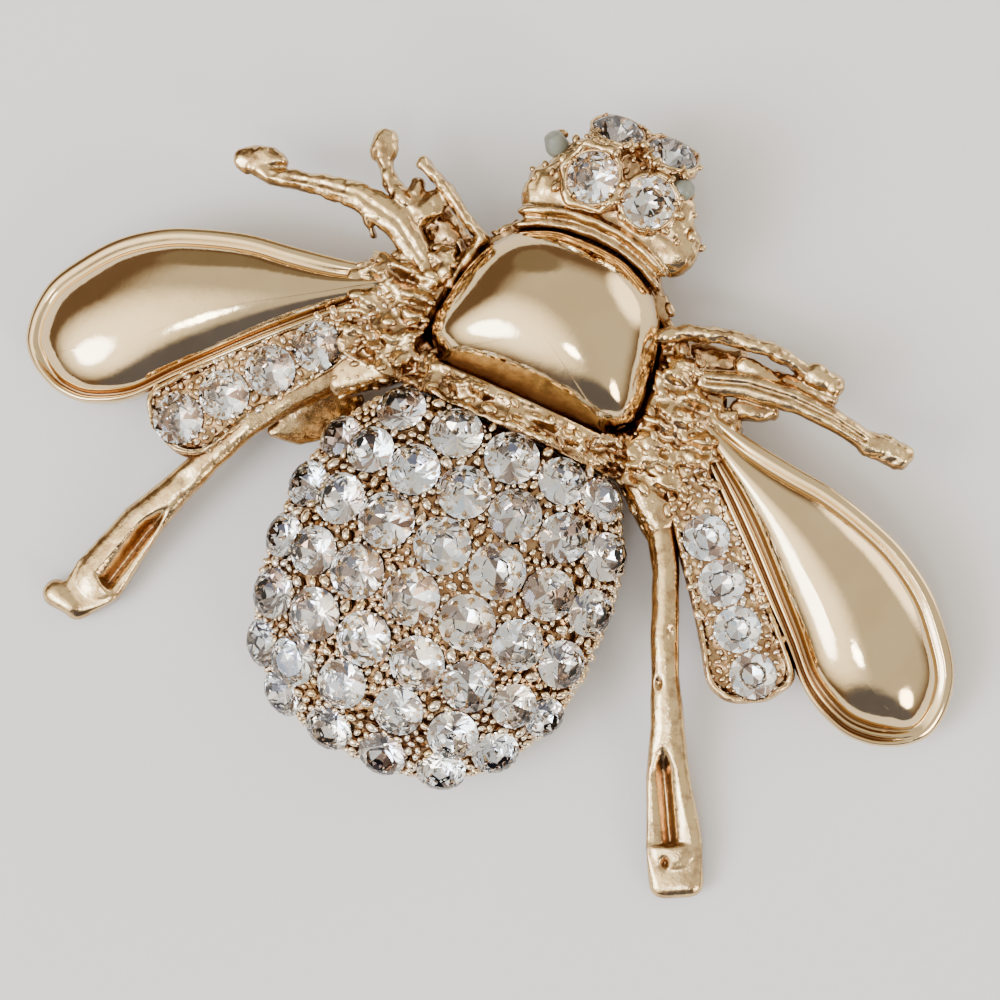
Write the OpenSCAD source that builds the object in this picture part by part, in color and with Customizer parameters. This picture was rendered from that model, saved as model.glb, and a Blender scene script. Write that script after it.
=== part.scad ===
// Bee brooch with clear stones, lying on its back.
// X runs toward the bee's right wing, Y toward the head, Z up from the surface it lies on.
// The origin is under the middle of the bounding box.
// The pieces are drawn flat, with the back plane at Z 0 and the rear edge of the
// collar at Y 0, and are then laid down on the pin fitting and the tail.

/* [Thorax] */
// Width of the polished thorax dome
thorax_w = 12.3; // [11.5:0.1:13.5]
// Length of the thorax dome from back to front
thorax_len = 9.2; // [8.8:0.1:9.8]
// Height of the thorax dome above its seat
thorax_h = 4.6; // [3.8:0.1:5.4]
// Wall of the hollow thorax cap
thorax_wall = 0.9; // [0.7:0.1:1.2]
// Thickness of the base plate under the thorax
base_t = 1.6; // [1.3:0.1:2]
// Dark seam between the thorax and the rim round it
seam_w = 0.35; // [0.25:0.05:0.5]
// Thickness of the rim round the thorax
seam_rim_w = 0.5; // [0.4:0.05:0.8]
// Depth of the collar band behind the thorax
collar_len = 2.2; // [1.9:0.1:2.5]
// Width of the collar band
collar_w = 14.2; // [13.4:0.1:15]
// Height of the collar band above the back plane
collar_h = 5.5; // [5:0.1:6]

/* [Abdomen] */
// Width of the metal under the stones
abdomen_w = 18.8; // [18:0.1:19.6]
// Length of the metal, with the end that the collar hides
abdomen_len = 21.3; // [20.7:0.1:21.9]
// Length of the front end that the collar cuts off
abdomen_cut = 1.6; // [1.4:0.1:2]
// Height of the metal dome above the back plane
abdomen_h = 7.4; // [6.8:0.1:8]
// Height of the plain skirt below the dome
skirt_h = 2.4; // [2:0.1:2.8]
// Wall of the hollow abdomen
abdomen_wall = 1.5; // [1.4:0.1:1.8]

/* [Stones] */
// Diameter of the stones along the middle of the abdomen
field_d = 3.1; // [2.9:0.05:3.15]
// Diameter of the stones at the sides of the abdomen
side_d = 2.35; // [2.2:0.05:2.4]
// Diameter of the wing stones
wing_stone_d = 2.6; // [2.3:0.05:2.65]
// Diameter of the head stones
head_stone_d = 2.75; // [2.5:0.05:2.8]
// Diameter of the milky eyes
eye_d = 1.4; // [1.2:0.05:1.6]
// Clearance between a stone and its seat
stone_gap = 0.1; // [0.08:0.01:0.12]
// Wall of the bezel ring round a stone
bezel_w = 0.25; // [0.2:0.05:0.3]

/* [Wings] */
// Length of a forewing from its root
forewing_len = 23.1; // [22:0.1:24]
// Greatest width of the right forewing
forewing_w = 9.3; // [8.6:0.1:10]
// Thickness of a forewing at its rim
forewing_t = 1.3; // [1.1:0.1:1.6]
// Height of the polished swell above the groove
forewing_swell = 1.7; // [1.2:0.1:2.2]
// Width of the raised rim round a forewing
wing_rim_w = 0.7; // [0.5:0.05:0.9]
// Depth of the groove inside the rim
wing_groove = 0.4; // [0.3:0.05:0.6]
// Length of a hindwing from its root
hindwing_len = 15.5; // [15:0.1:16]
// Greatest width of a hindwing
hindwing_w = 4.9; // [4.6:0.1:5.3]
// Thickness of a hindwing
hindwing_t = 1.9; // [1.8:0.1:2.3]
// Height of the wall round the end of a hindwing, above its field
hindwing_rim_h = 0.35; // [0.25:0.05:0.5]

/* [Legs] */
// Length of a hind leg from its hip
hind_leg_len = 20.9; // [20:0.1:21.5]
// Width of a hind foot
hind_foot_w = 3.2; // [2.8:0.1:3.6]
// Thickness of the legs
leg_t = 1.3; // [1.1:0.1:1.5]
// Reach of a foreleg from its root
foreleg_reach = 12.8; // [12:0.1:13.6]
// Width of the foreleg's main rod
foreleg_w = 1.4; // [1.1:0.1:1.7]

/* [Head] */
// Width of the head across its cheeks
head_w = 10.8; // [10.2:0.1:11.2]
// Length of the head from the thorax to its front stones
head_len = 6.5; // [6.2:0.1:6.8]
// Height of the head above the back plane
head_h = 3.7; // [3.4:0.1:4.1]

/* [Pin] */
// Height of the pin fitting below the back plane
pin_h = 2.8; // [2.6:0.1:3.2]
// Length of the bar that carries the pin
pin_bar_len = 23; // [21:0.5:24]
// Width of that bar
pin_bar_w = 2.6; // [2.2:0.1:3]
// Thickness of that bar
pin_bar_t = 0.8; // [0.6:0.1:1]
// Diameter of the pin stem
stem_d = 0.8; // [0.7:0.05:1]
// Clearance between pieces that seat on each other
seat_gap = 0.1; // [0.06:0.01:0.15]

/* [Hidden] */
$fn = 32;
left = -1;
right = 1;
stone_sides = 8;

// Places along the bee
abdomen_y = abdomen_cut - seat_gap - abdomen_len / 2;
tail_y = abdomen_y - abdomen_len / 2;
head_back = collar_len + thorax_len;
head_front = head_back + head_len;
pin_y = collar_len + 0.32 * thorax_len;

// The angle at which the back lies, and the middle of the bounding box
rest_tilt = asin(pin_h / (pin_y - tail_y));
front_reach = 1.15;
bed_off = 0.135;
mid_y = tail_y + ((head_front + front_reach - tail_y) * cos(rest_tilt)
    - 0.45 * head_stone_d) / 2 + bed_off;

function unit(v) = v / norm(v);
function side_of(side) = (side == left) ? 0 : 1;

// The thorax outline: share of the length, share of the half width
thorax_rows = [[0, 0.66], [0.025, 0.82], [0.11, 0.97], [0.23, 1], [0.38, 0.97],
    [0.53, 0.93], [0.71, 0.84], [0.855, 0.68], [0.955, 0.42], [0.99, 0.18]];
thorax_outline = concat(
    [for (r = thorax_rows) [r[1] * thorax_w / 2, collar_len + r[0] * thorax_len]],
    [for (i = [len(thorax_rows) - 1:-1:0])
        [-thorax_rows[i][1] * thorax_w / 2, collar_len + thorax_rows[i][0] * thorax_len]]);
thorax_crest = [0, collar_len + 0.36 * thorax_len];

// The rows of stones on the abdomen, from the collar to the tail: place along the half
// length, how far the ends of the row are drawn toward the middle, and the places of the
// stones across the half width
stone_rows = [
    [0.734, 0, [-0.59, -0.22, 0.135, 0.455, 0.70]],
    [0.473, 0, [-0.865, -0.635, -0.345, -0.02, 0.30, 0.60, 0.855]],
    [0.181, 0, [-0.92, -0.675, -0.36, 0, 0.345, 0.66, 0.91]],
    [-0.118, 0, [-0.92, -0.69, -0.39, -0.04, 0.31, 0.62, 0.885]],
    [-0.410, 0, [-0.825, -0.525, -0.195, 0.145, 0.465, 0.74, 0.92]],
    [-0.675, 0, [-0.78, -0.54, -0.215, 0.15, 0.49, 0.745]],
    [-0.93, 0.2, [-0.55, -0.20, 0.15, 0.50]]];
plan_power = 2.4;
dome_power = 2.05;

// The forewing outline: share of the length, then leading and trailing shares of the width
forewing_rows = [[0, 0.17, 0.11], [0.07, 0.215, 0.065], [0.18, 0.29, -0.01],
    [0.30, 0.39, -0.095], [0.40, 0.48, -0.165], [0.51, 0.54, -0.245], [0.62, 0.57, -0.325],
    [0.74, 0.54, -0.415], [0.85, 0.44, -0.405], [0.92, 0.345, -0.325],
    [0.965, 0.225, -0.215], [0.99, 0.11, -0.11], [1, 0, 0]];
// The hindwing outline, in the same columns
hindwing_rows = [[0, 0.34, -0.16], [0.15, 0.40, -0.20], [0.35, 0.50, -0.26],
    [0.55, 0.54, -0.30], [0.72, 0.56, -0.36], [0.86, 0.57, -0.42], [0.93, 0.56, -0.34],
    [0.97, 0.48, -0.20], [0.99, 0.32, 0], [1, 0.15, 0.15]];
// Left and right: turn of the forewing, its share of the width, turn of the hindwing,
// its share of the length, share of the length at the first stone and for each step
wing_sides = [[-29.2, 1.04, -51.8, 1, 0.325, 0.190],
    [-26.2, 1, -47, 0.955, 0.335, 0.172]];
forewing_root = [thorax_w / 2 + 1.35, collar_len + 0.26 * thorax_len, 0.55];
hindwing_root = [[thorax_w / 2 + 2.1, collar_len + 0.15 * thorax_len, 0.5],
    [thorax_w / 2 + 2.5, collar_len + 0.05 * thorax_len, 0.5]];
wing_stone_count = 4;
wing_stone_off = 0.1;
wing_stone_rise = 0.05;

// A hind leg: share of the length, bow on the left and on the right as shares of the
// length, share of the foot width, share of the thickness raised above the back plane
hind_rows = [[0, 0.03, 0.01, 0.56, 1.25], [0.14, 0.055, 0.022, 0.50, 1.45],
    [0.28, 0.070, 0.012, 0.50, 1.5], [0.42, 0.066, 0.008, 0.52, 1.4],
    [0.55, 0.058, 0.008, 0.60, 1.2], [0.68, 0.048, 0.006, 0.78, 1.0],
    [0.865, 0.006, 0.014, 1, 0.75]];
hind_hip = [abdomen_w / 2 + 0.2, -0.5 * collar_len];
hind_turn = -63.2;
step_share = 0.865;
trough_share = 0.62;

// Foreleg rods: start x and y, end x and y as shares of the reach from the foreleg's root,
// start and end width and height above the back plane as shares of the rod width
foreleg_left = [[0.997, 0.11, 0.92, 0.15, 1.11, 0.96, 1, 1.07],
    [0.92, 0.15, 0.851, 0.163, 0.93, 0.39, 1.07, 1.07],
    [0.957, 0.111, 0.877, 0.076, 0.93, 0.5, 1, 1.07],
    [0.878, 0.088, 0.637, 0.139, 0.71, 0.96, 1.07, 1.36],
    [0.637, 0.139, 0.472, 0.16, 0.96, 1.21, 1.36, 1.5],
    [0.472, 0.16, 0.258, 0.121, 1.21, 1.36, 1.5, 1.5],
    [0.258, 0.121, 0.089, 0.012, 1.36, 1.14, 1.5, 1.36],
    [0.089, 0.012, -0.006, -0.089, 1.14, 1.29, 1.36, 1.29],
    [0.47, 0.436, 0.462, 0.391, 1, 1.14, 1.21, 1.21],
    [0.46, 0.374, 0.372, 0.278, 0.57, 0.68, 1.14, 1.21],
    [0.372, 0.278, 0.271, 0.222, 0.68, 0.79, 1.21, 1.36],
    [0.267, 0.406, 0.124, 0.343, 0.54, 0.57, 1.57, 1.57],
    [0.124, 0.343, 0.011, 0.272, 0.57, 0.57, 1.57, 1.57],
    [0.011, 0.272, -0.11, 0.207, 0.57, 0.57, 1.57, 1.5],
    [-0.11, 0.207, -0.062, -0.024, 0.54, 0.57, 1.5, 1.36],
    [0.257, 0.318, 0.219, 0.186, 0.71, 0.93, 1.14, 1.29],
    [0.151, 0.277, 0.21, 0.141, 1.07, 0.93, 1.29, 1.29],
    [-0.020, 0.154, -0.058, 0.113, 0.32, 0.32, 1.21, 1.21],
    [-0.058, 0.113, -0.020, 0.004, 0.32, 0.36, 1.21, 1.14],
    [0.142, 0.21, -0.029, 0.103, 1.57, 1.86, 0.57, 0.57],
    [0.399, 0.093, 0.349, 0.031, 0.36, 0.25, 1.36, 0.93]];
foreleg_right = [[0.138, 0.037, 0.304, 0.094, 1.13, 1.13, 1.36, 1.43],
    [0.304, 0.094, 0.506, 0.116, 1.13, 1.06, 1.43, 1.5],
    [0.506, 0.116, 0.698, 0.111, 1.02, 0.91, 1.5, 1.43],
    [0.698, 0.111, 0.859, 0.085, 0.87, 0.87, 1.43, 1.29],
    [0.893, 0.08, 1.016, 0.089, 1.13, 1.21, 1.21, 1.07],
    [0.859, 0.085, 0.893, 0.08, 0.87, 1.13, 1.29, 1.21],
    [-0.119, 0.133, -0.021, 0.199, 0.65, 0.65, 1.64, 1.64],
    [-0.021, 0.199, 0.167, 0.255, 0.65, 0.68, 1.64, 1.64],
    [0.167, 0.255, 0.317, 0.276, 0.68, 0.65, 1.64, 1.57],
    [0.317, 0.276, 0.407, 0.263, 0.65, 0.6, 1.57, 1.5],
    [0.549, 0.254, 0.636, 0.251, 1.02, 1.02, 1.36, 1.29],
    [0.407, 0.264, 0.541, 0.251, 0.53, 0.68, 1.43, 1.29],
    [0.39, 0.186, 0.665, 0.188, 0.53, 0.53, 1.07, 1.07],
    [0.26, 0.168, 0.42, 0.166, 0.91, 0.68, 1.29, 1.21],
    [0.319, -0.009, 0.449, 0.033, 0.99, 0.68, 0.93, 0.86],
    [0.043, 0.101, 0.226, 0.172, 1.52, 1.21, 0.64, 0.64]];
forelegs = [foreleg_left, foreleg_right];
foreleg_root = [thorax_w / 2 + 1.05, collar_len + 0.478 * thorax_len];

// Head stones: share of the head width, share of the head length, share of the head
// height, tilt forward and tilt outward in degrees
head_seats = [[0.157, 0.505, 0.98, -4, 9], [0.153, 0.985, 0.66, 52, 6]];
// The eyes: share of the head width on the left and right, of its length and height
eye_seats = [[0.420, 0.67, 0.66], [0.280, 0.72, 0.80]];
head_turn = 0;
head_shift = 0.35;

// The shape of the abdomen: how far out a plan point lies, and the dome's height there
function plan_share(x, y) = pow(pow(abs(x) / (abdomen_w / 2), plan_power)
    + pow(abs(y) / (abdomen_len / 2), plan_power), 1 / plan_power);
function dome_z(x, y) = skirt_h + (abdomen_h - skirt_h)
    * pow(max(0, 1 - pow(min(1, plan_share(x, y)), dome_power)), 1 / dome_power);
function dome_normal(x, y, e = 0.02) = unit([
    (dome_z(x - e, y) - dome_z(x + e, y)) / (2 * e),
    (dome_z(x, y - e) - dome_z(x, y + e)) / (2 * e), 1]);

// Each stone of the abdomen: its place, its axis and its diameter. The axis lies between
// the dome's normal and the vertical, so that the outer stones look up.
lean = 0.65;
abdomen_seats = [for (r = stone_rows) for (share = r[2])
    let (x = share * abdomen_w / 2,
        y = r[0] * (1 - r[1] * share * share) * abdomen_len / 2,
        out = pow(plan_share(x, y), 2),
        d = field_d - (field_d - side_d) * min(1, 1.15 * out))
    [[x, y + abdomen_y, dome_z(x, y)], unit(dome_normal(x, y) + [0, 0, lean * out]), d]];

// A closed skin over rings of points, with one point closing each end
module skin(rings, start, finish) {
    n = len(rings[0]);
    m = len(rings);
    last = 1 + n * m;
    points = concat([start], [for (r = rings) for (p = r) p], [finish]);
    faces = concat(
        [for (i = [0:n - 1]) [0, 1 + i, 1 + (i + 1) % n]],
        [for (k = [0:m - 2]) for (i = [0:n - 1]) let (j = (i + 1) % n)
            each [[1 + k * n + i, 1 + (k + 1) * n + i, 1 + (k + 1) * n + j],
                [1 + k * n + i, 1 + (k + 1) * n + j, 1 + k * n + j]]],
        [for (i = [0:n - 1]) [last, 1 + (m - 1) * n + (i + 1) % n, 1 + (m - 1) * n + i]]);
    polyhedron(points, faces);
}

// A closed skin over rings round a wing, with a line of points along the middle of its
// top and its underside
module wing_skin(rings, crest, keel) {
    n = len(rings[0]);
    m = len(rings);
    stations = len(crest);
    top = n * m;
    under = top + stations;
    points = concat([for (r = rings) for (p = r) p], crest, keel);
    function station(i) = (i < stations) ? i : 2 * stations - 2 - i;
    function strip(i, ring, line, flip) = let (j = (i + 1) % n, a = ring * n + i,
        b = ring * n + j, c = line + station(j), d = line + station(i))
        (c == d) ? [flip ? [a, c, b] : [a, b, c]]
        : flip ? [[a, c, b], [a, d, c]] : [[a, b, c], [a, c, d]];
    faces = concat(
        [for (k = [0:m - 2]) for (i = [0:n - 1]) let (j = (i + 1) % n)
            each [[k * n + i, (k + 1) * n + j, (k + 1) * n + i],
                [k * n + i, k * n + j, (k + 1) * n + j]]],
        [for (i = [0:n - 1]) each strip(i, m - 1, top, false)],
        [for (i = [0:n - 1]) each strip(i, 0, under, true)]);
    polyhedron(points, faces);
}

// The outline of a wing in its own frame, X along it and Y toward its leading edge
function wing_outline(rows, length, width) = let (n = len(rows)) concat(
    [for (r = rows) [r[0] * length, r[1] * width]],
    [for (i = [n - 2:-1:0]) [rows[i][0] * length, rows[i][2] * width]]);
// The middle line of a wing, with one point for each row of its table
function wing_line(rows, length, width, from, to, off) = let (n = len(rows))
    [for (i = [0:n - 1]) [(from + (to - from) * i / (n - 1)) * length, off * width]];
function line_for(line, i) = let (n = len(line)) line[(i < n) ? i : 2 * n - 2 - i];
// The outline drawn in by a distance, or by a share of what is left past that distance
function drawn_in(outline, line, inset, share) = [for (i = [0:len(outline) - 1])
    let (p = outline[i], q = line_for(line, i), gap = norm(q - p),
        along = min(0.97, inset / gap), at = along + (1 - along) * share)
    p + (q - p) * at];
function lifted(points, heights) = [for (i = [0:len(points) - 1])
    [points[i][0], points[i][1], heights[i]]];
// The bow of a wing: its height above its root at a distance along it
function wing_bow(x, length, rise, drop) = let (s = x / length)
    4 * rise * s * (1 - s) - drop * s * s;

module forewing(side) {
    info = wing_sides[side_of(side)];
    width = forewing_w * info[1];
    outline = wing_outline(forewing_rows, forewing_len, width);
    line = wing_line(forewing_rows, forewing_len, width, 0.10, 0.90, 0.03);
    groove_w = 0.25;
    rise = 0.9;
    drop = 1.1;
    function bow(p) = wing_bow(p[0], forewing_len, rise, drop);
    function swell(p) = let (s = p[0] / forewing_len)
        forewing_swell * (0.35 + 0.65 * pow(sin(min(90, 140 * s)), 1.5));
    function level(points, z) = lifted(points, [for (p = points) bow(p) + z]);
    function swollen(share) = let (points = drawn_in(outline, line, wing_rim_w + groove_w, share))
        lifted(points, [for (i = [0:len(points) - 1])
            bow(points[i]) + forewing_t - wing_groove
            + swell(line_for(line, i)) * sqrt(1 - pow(1 - share, 2))]);
    rings = concat(
        [level(drawn_in(outline, line, 0.3, 0), 0)],
        [level(outline, 0.35)],
        [level(outline, forewing_t)],
        [level(drawn_in(outline, line, wing_rim_w, 0), forewing_t)],
        [for (share = [0, 0.15, 0.45]) swollen(share)]);
    crest = lifted(line, [for (p = line) bow(p) + forewing_t - wing_groove + swell(p)]);
    keel = lifted(line, [for (p = line) bow(p) + 0.5]);
    on_wing(forewing_root, info[0], side) wing_skin(rings, crest, keel);
}

module on_wing(root, turn, side) {
    mirror([(side == left) ? 1 : 0, 0, 0]) translate(root) rotate([0, 0, turn]) children();
}

module hindwing(side) {
    info = wing_sides[side_of(side)];
    length = info[3] * hindwing_len;
    outline = wing_outline(hindwing_rows, length, hindwing_w);
    line = wing_line(hindwing_rows, length, hindwing_w, 0.06, 0.90, 0.1);
    wall_w = 0.4;
    function rim(i) = outline[i][0] > 0.7 * length ? hindwing_rim_h : 0;
    function level(points, z) = lifted(points, [for (i = [0:len(points) - 1]) z]);
    function walled(points) = lifted(points, [for (i = [0:len(points) - 1])
        hindwing_t + rim(i)]);
    rings = [level(drawn_in(outline, line, 0.3, 0), 0.3), level(outline, 0.6),
        walled(outline), walled(drawn_in(outline, line, wall_w, 0)),
        level(drawn_in(outline, line, wall_w + 0.15, 0), hindwing_t)];
    crest = lifted(line, [for (p = line) hindwing_t]);
    keel = lifted(line, [for (p = line) 0.4]);
    on_wing(hindwing_root[side_of(side)], info[2], side) wing_skin(rings, crest, keel);
}

// The place of one wing stone: the middle of its girdle
module at_wing_stone(side, i) {
    info = wing_sides[side_of(side)];
    on_wing(hindwing_root[side_of(side)], info[2], side)
        translate([(info[4] + info[5] * i) * hindwing_len,
            wing_stone_off * hindwing_w, hindwing_t + wing_stone_rise])
        children();
}

// A bead that the legs and the head are drawn through
module bead(p, w, t, sides = 8) {
    translate(p) scale([w, w, t]) sphere(d = 1, $fn = sides);
}

module rod(from, to, from_w, to_w, t, sides = 8) {
    hull() {
        bead(from, from_w, t, sides);
        bead(to, to_w, t, sides);
    }
}

module on_hind_leg(side) {
    mirror([(side == left) ? 1 : 0, 0, 0]) translate([hind_hip[0], hind_hip[1], 0])
        rotate([0, 0, hind_turn]) children();
}

function hind_point(r, side) = [r[0] * hind_leg_len,
    r[1 + side_of(side)] * hind_leg_len, r[4] * leg_t];

module hind_leg(side) {
    bow = hind_rows[len(hind_rows) - 1][1 + side_of(side)] * hind_leg_len;
    on_hind_leg(side) {
        difference() {
            for (i = [0:len(hind_rows) - 2])
                rod(hind_point(hind_rows[i], side), hind_point(hind_rows[i + 1], side),
                    hind_rows[i][3] * hind_foot_w, hind_rows[i + 1][3] * hind_foot_w, leg_t);
            trough(side, bow);
        }
        hind_foot(side, bow);
    }
}

// The tapering hollow between the two raised edges of the shin
module trough(side, bow) {
    upper = hind_rows[5];
    hull() {
        bead([trough_share * hind_leg_len, upper[1 + side_of(side)] * hind_leg_len,
            1.62 * leg_t], 0.2 * hind_foot_w, 0.5);
        bead([(step_share - 0.02) * hind_leg_len, bow, 1.2 * leg_t],
            0.62 * hind_foot_w, 0.7);
    }
}

module hind_foot(side, bow) {
    toe = (side == left) ? -0.005 : -0.01;
    hull() {
        translate([step_share * hind_leg_len, bow, 0.62 * leg_t])
            cube([0.5, 0.95 * hind_foot_w, 0.8 * leg_t], center = true);
        bead([0.945 * hind_leg_len, bow + (toe + 0.035) * hind_leg_len, 0.62 * leg_t],
            0.5 * hind_foot_w, 0.85 * leg_t);
        bead([0.962 * hind_leg_len, bow + (toe - 0.015) * hind_leg_len, 0.62 * leg_t],
            0.5 * hind_foot_w, 0.9 * leg_t);
    }
    if (side == left) {
        hull() {
            bead([0.982 * hind_leg_len, bow + 0.042 * hind_leg_len, 0.62 * leg_t],
                0.5 * hind_foot_w, 0.9 * leg_t);
            bead([0.968 * hind_leg_len, bow - 0.015 * hind_leg_len, 0.62 * leg_t],
                0.5 * hind_foot_w, 0.9 * leg_t);
        }
        hip_web();
    }
}

// The low web between the left hip and the abdomen
module hip_web() {
    hull() for (p = [[0.01, -0.055], [0.13, -0.07], [0.20, -0.035], [0.24, 0.02], [0.02, 0.02]])
        bead([p[0] * hind_leg_len, p[1] * hind_leg_len, 0.7 * leg_t], 0.7 * leg_t, 0.7 * leg_t, 6);
}

module foreleg(side) {
    mirror([(side == left) ? 1 : 0, 0, 0]) translate([foreleg_root[0], foreleg_root[1], 0])
        for (r = forelegs[side_of(side)])
            rod([r[0] * foreleg_reach, r[1] * foreleg_reach, r[6] * foreleg_w],
                [r[2] * foreleg_reach, r[3] * foreleg_reach, r[7] * foreleg_w],
                r[4] * foreleg_w, r[5] * foreleg_w, 0.85 * foreleg_w, 6);
}

// The rough lump where the wings and legs of one side meet the base
module wing_root(side) {
    edge = thorax_w / 2 + seam_w;
    front = collar_len + 0.6 * thorax_len;
    mirror([(side == left) ? 1 : 0, 0, 0]) {
        hull() {
            bead([edge + 0.6, front, 1.3], 1.6, 2.4);
            bead([edge + 0.5, 0.5 * collar_len, 1.7], 1.8, 3.2);
            bead([edge + 4.2, collar_len + 0.3 * thorax_len, 1.4], 2.2, 2.2);
            bead([edge + 4.6, 0.85 * collar_len, 1.3], 2.2, 2.2);
        }
        hull() {
            bead([edge + 0.7, 0.25 * collar_len, 1.6], 1.6, 2.8);
            bead([edge + 4.4, 0.85 * collar_len, 1.3], 2.2, 2.2);
            bead([hind_hip[0] + 0.2, hind_hip[1] - 0.2, 1.3], 2, 2.2);
        }
        hull() {
            bead([edge + 1.2, collar_len + 0.42 * thorax_len, 1.4], 2, 2.4);
            bead([foreleg_root[0] + 0.05 * foreleg_reach, foreleg_root[1], 1.5], 1.8, 2.4);
        }
    }
}

// The arched band between the thorax and the abdomen, with a ridge along its back edge
module collar() {
    ridge_w = 0.35;
    ridge_h = 0.25;
    arch(collar_w, collar_h - ridge_h, collar_len);
    arch(collar_w + ridge_h, collar_h, ridge_w);
}

// A half-round plate across the bee, from Y 0 forward
module arch(w, h, depth) {
    translate([0, depth, 0]) rotate([90, 0, 0]) linear_extrude(depth)
        intersection() {
            scale([w / 2, h]) circle(r = 1, $fn = 32);
            translate([-w / 2, 0]) square([w, h]);
        }
}

module base() {
    rim_h = base_t + 1.25;
    linear_extrude(base_t) offset(r = seam_w + seam_rim_w, $fn = 16) polygon(thorax_outline);
    difference() {
        linear_extrude(rim_h) difference() {
            offset(r = seam_w + seam_rim_w, $fn = 16) polygon(thorax_outline);
            offset(r = seam_w, $fn = 16) polygon(thorax_outline);
        }
        translate([-thorax_w, collar_len + 0.73 * thorax_len, base_t])
            cube([2 * thorax_w, thorax_len, rim_h]);
    }
    neck_w = 0.5 * thorax_w;
    translate([-neck_w / 2, head_back - 0.5 * thorax_len, 0])
        cube([neck_w, 0.5 * thorax_len + 0.62 * head_len, 0.7 * base_t]);
}

module bezel_post(d, up, down) {
    translate([0, 0, -down])
        cylinder(d = d + 2 * (stone_gap + bezel_w), h = up + down, $fn = stone_sides);
}

module seat_cut(d) {
    translate([0, 0, -seat_depth(d)])
        cylinder(d = d + 2 * stone_gap, h = seat_depth(d) + 2, $fn = stone_sides);
}

function seat_depth(d) = 0.32 * d + stone_gap;

// A round brilliant: table, crown facets, girdle and pavilion facets, girdle at Z 0
module stone(d) {
    girdle_t = 0.04 * d;
    rings = [ring(d / 2, -girdle_t / 2, 0), ring(d / 2, girdle_t / 2, 0),
        ring(0.29 * d, 0.17 * d, 180 / stone_sides)];
    skin(rings, [0, 0, -0.30 * d], [0, 0, 0.17 * d]);
}

function ring(r, z, turn, n = stone_sides) = [for (i = [0:n - 1])
    let (a = 360 * i / n + turn) [r * cos(a), r * sin(a), z]];

// Turns its children so that Z points along a normal
module facing(p, normal) {
    tilt = acos(normal[2]);
    around = atan2(normal[1], normal[0]);
    translate(p) rotate([0, 0, around]) rotate([0, tilt, 0]) rotate([0, 0, -around]) children();
}

// Lays the drawn pieces down on the pin fitting and the tail
module resting() {
    translate([0, tail_y - mid_y, 0]) rotate([rest_tilt, 0, 0]) translate([0, -tail_y, 0])
        children();
}

module wing_frame() {
    color("#d8b98a") resting() difference() {
        union() {
            base();
            collar();
            for (side = [left, right]) {
                wing_root(side);
                forewing(side);
                hindwing(side);
                hind_leg(side);
                foreleg(side);
                for (i = [0:wing_stone_count - 1])
                    at_wing_stone(side, i) bezel_post(wing_stone_d, 0.12, 0.6);
            }
        }
        for (side = [left, right]) for (i = [0:wing_stone_count - 1])
            at_wing_stone(side, i) seat_cut(wing_stone_d);
        thorax_clearance();
    }
}

// The room that the thorax cap needs above the base
module thorax_clearance() {
    translate([0, 0, base_t]) linear_extrude(thorax_h + 2)
        offset(r = seam_w, $fn = 16) polygon(thorax_outline);
}

function thorax_ring(share, z) = [for (p = thorax_outline)
    let (q = thorax_crest + (p - thorax_crest) * share) [q[0], q[1], z]];
function cap_z(share) = pow(1 - pow(share, 2.2), 1 / 2);

module thorax_dome() {
    foot = base_t + seat_gap;
    wall_foot = 0.9;
    inner = 1 - 2 * thorax_wall / thorax_w;
    inner_h = thorax_h - wall_foot - thorax_wall;
    shares = [0.5, 0.8, 1];
    color("#dcc093") resting() skin(concat(
        [for (s = shares) thorax_ring(inner * s, foot + wall_foot + inner_h * cap_z(s))],
        [thorax_ring(inner, foot), thorax_ring(1, foot)],
        [for (s = [1, 0.96, 0.86, 0.7, 0.5, 0.26])
            thorax_ring(s, foot + wall_foot + (thorax_h - wall_foot) * cap_z(s))]),
        [thorax_crest[0], thorax_crest[1], foot + wall_foot + inner_h],
        [thorax_crest[0], thorax_crest[1], foot + thorax_h]);
}

function plan_ring(inset, share, z, n = 32) = [for (i = [0:n - 1])
    let (a = 360 * i / n, e = 2 / plan_power,
        c = cos(a), s = sin(a))
    [sign(c) * pow(abs(c), e) * (abdomen_w / 2 - inset) * share,
        sign(s) * pow(abs(s), e) * (abdomen_len / 2 - inset) * share + abdomen_y, z]];
function dome_share(share) = pow(1 - pow(share, dome_power), 1 / dome_power);

module abdomen_shell() {
    in_h = abdomen_h - skirt_h - abdomen_wall;
    skin(concat([plan_ring(abdomen_wall, 1, -1, 20)],
        [for (s = [1, 0.85, 0.5])
            plan_ring(abdomen_wall, s, skirt_h + in_h * dome_share(s), 20)]),
        [0, abdomen_y, -1], [0, abdomen_y, skirt_h + in_h]);
}

module abdomen_body() {
    skin(concat([plan_ring(0, 1, 0)],
        [for (s = [1, 0.975, 0.9, 0.78, 0.62, 0.42, 0.2])
            plan_ring(0, s, skirt_h + (abdomen_h - skirt_h) * dome_share(s))]),
        [0, abdomen_y, 0], [0, abdomen_y, abdomen_h]);
}

module abdomen_setting() {
    color("#cda876") resting() difference() {
        union() {
            abdomen_body();
            for (s = abdomen_seats) facing(s[0], s[1]) bezel_post(s[2], 0.1, 0.7);
        }
        abdomen_shell();
        for (s = abdomen_seats) facing(s[0], s[1]) seat_cut(s[2]);
        translate([-abdomen_w, -seat_gap, -1]) cube([2 * abdomen_w, abdomen_len, 20]);
    }
}

module abdomen_stones() {
    color("#e4e6ee") resting() for (s = abdomen_seats) facing(s[0], s[1]) stone(s[2]);
}

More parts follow.
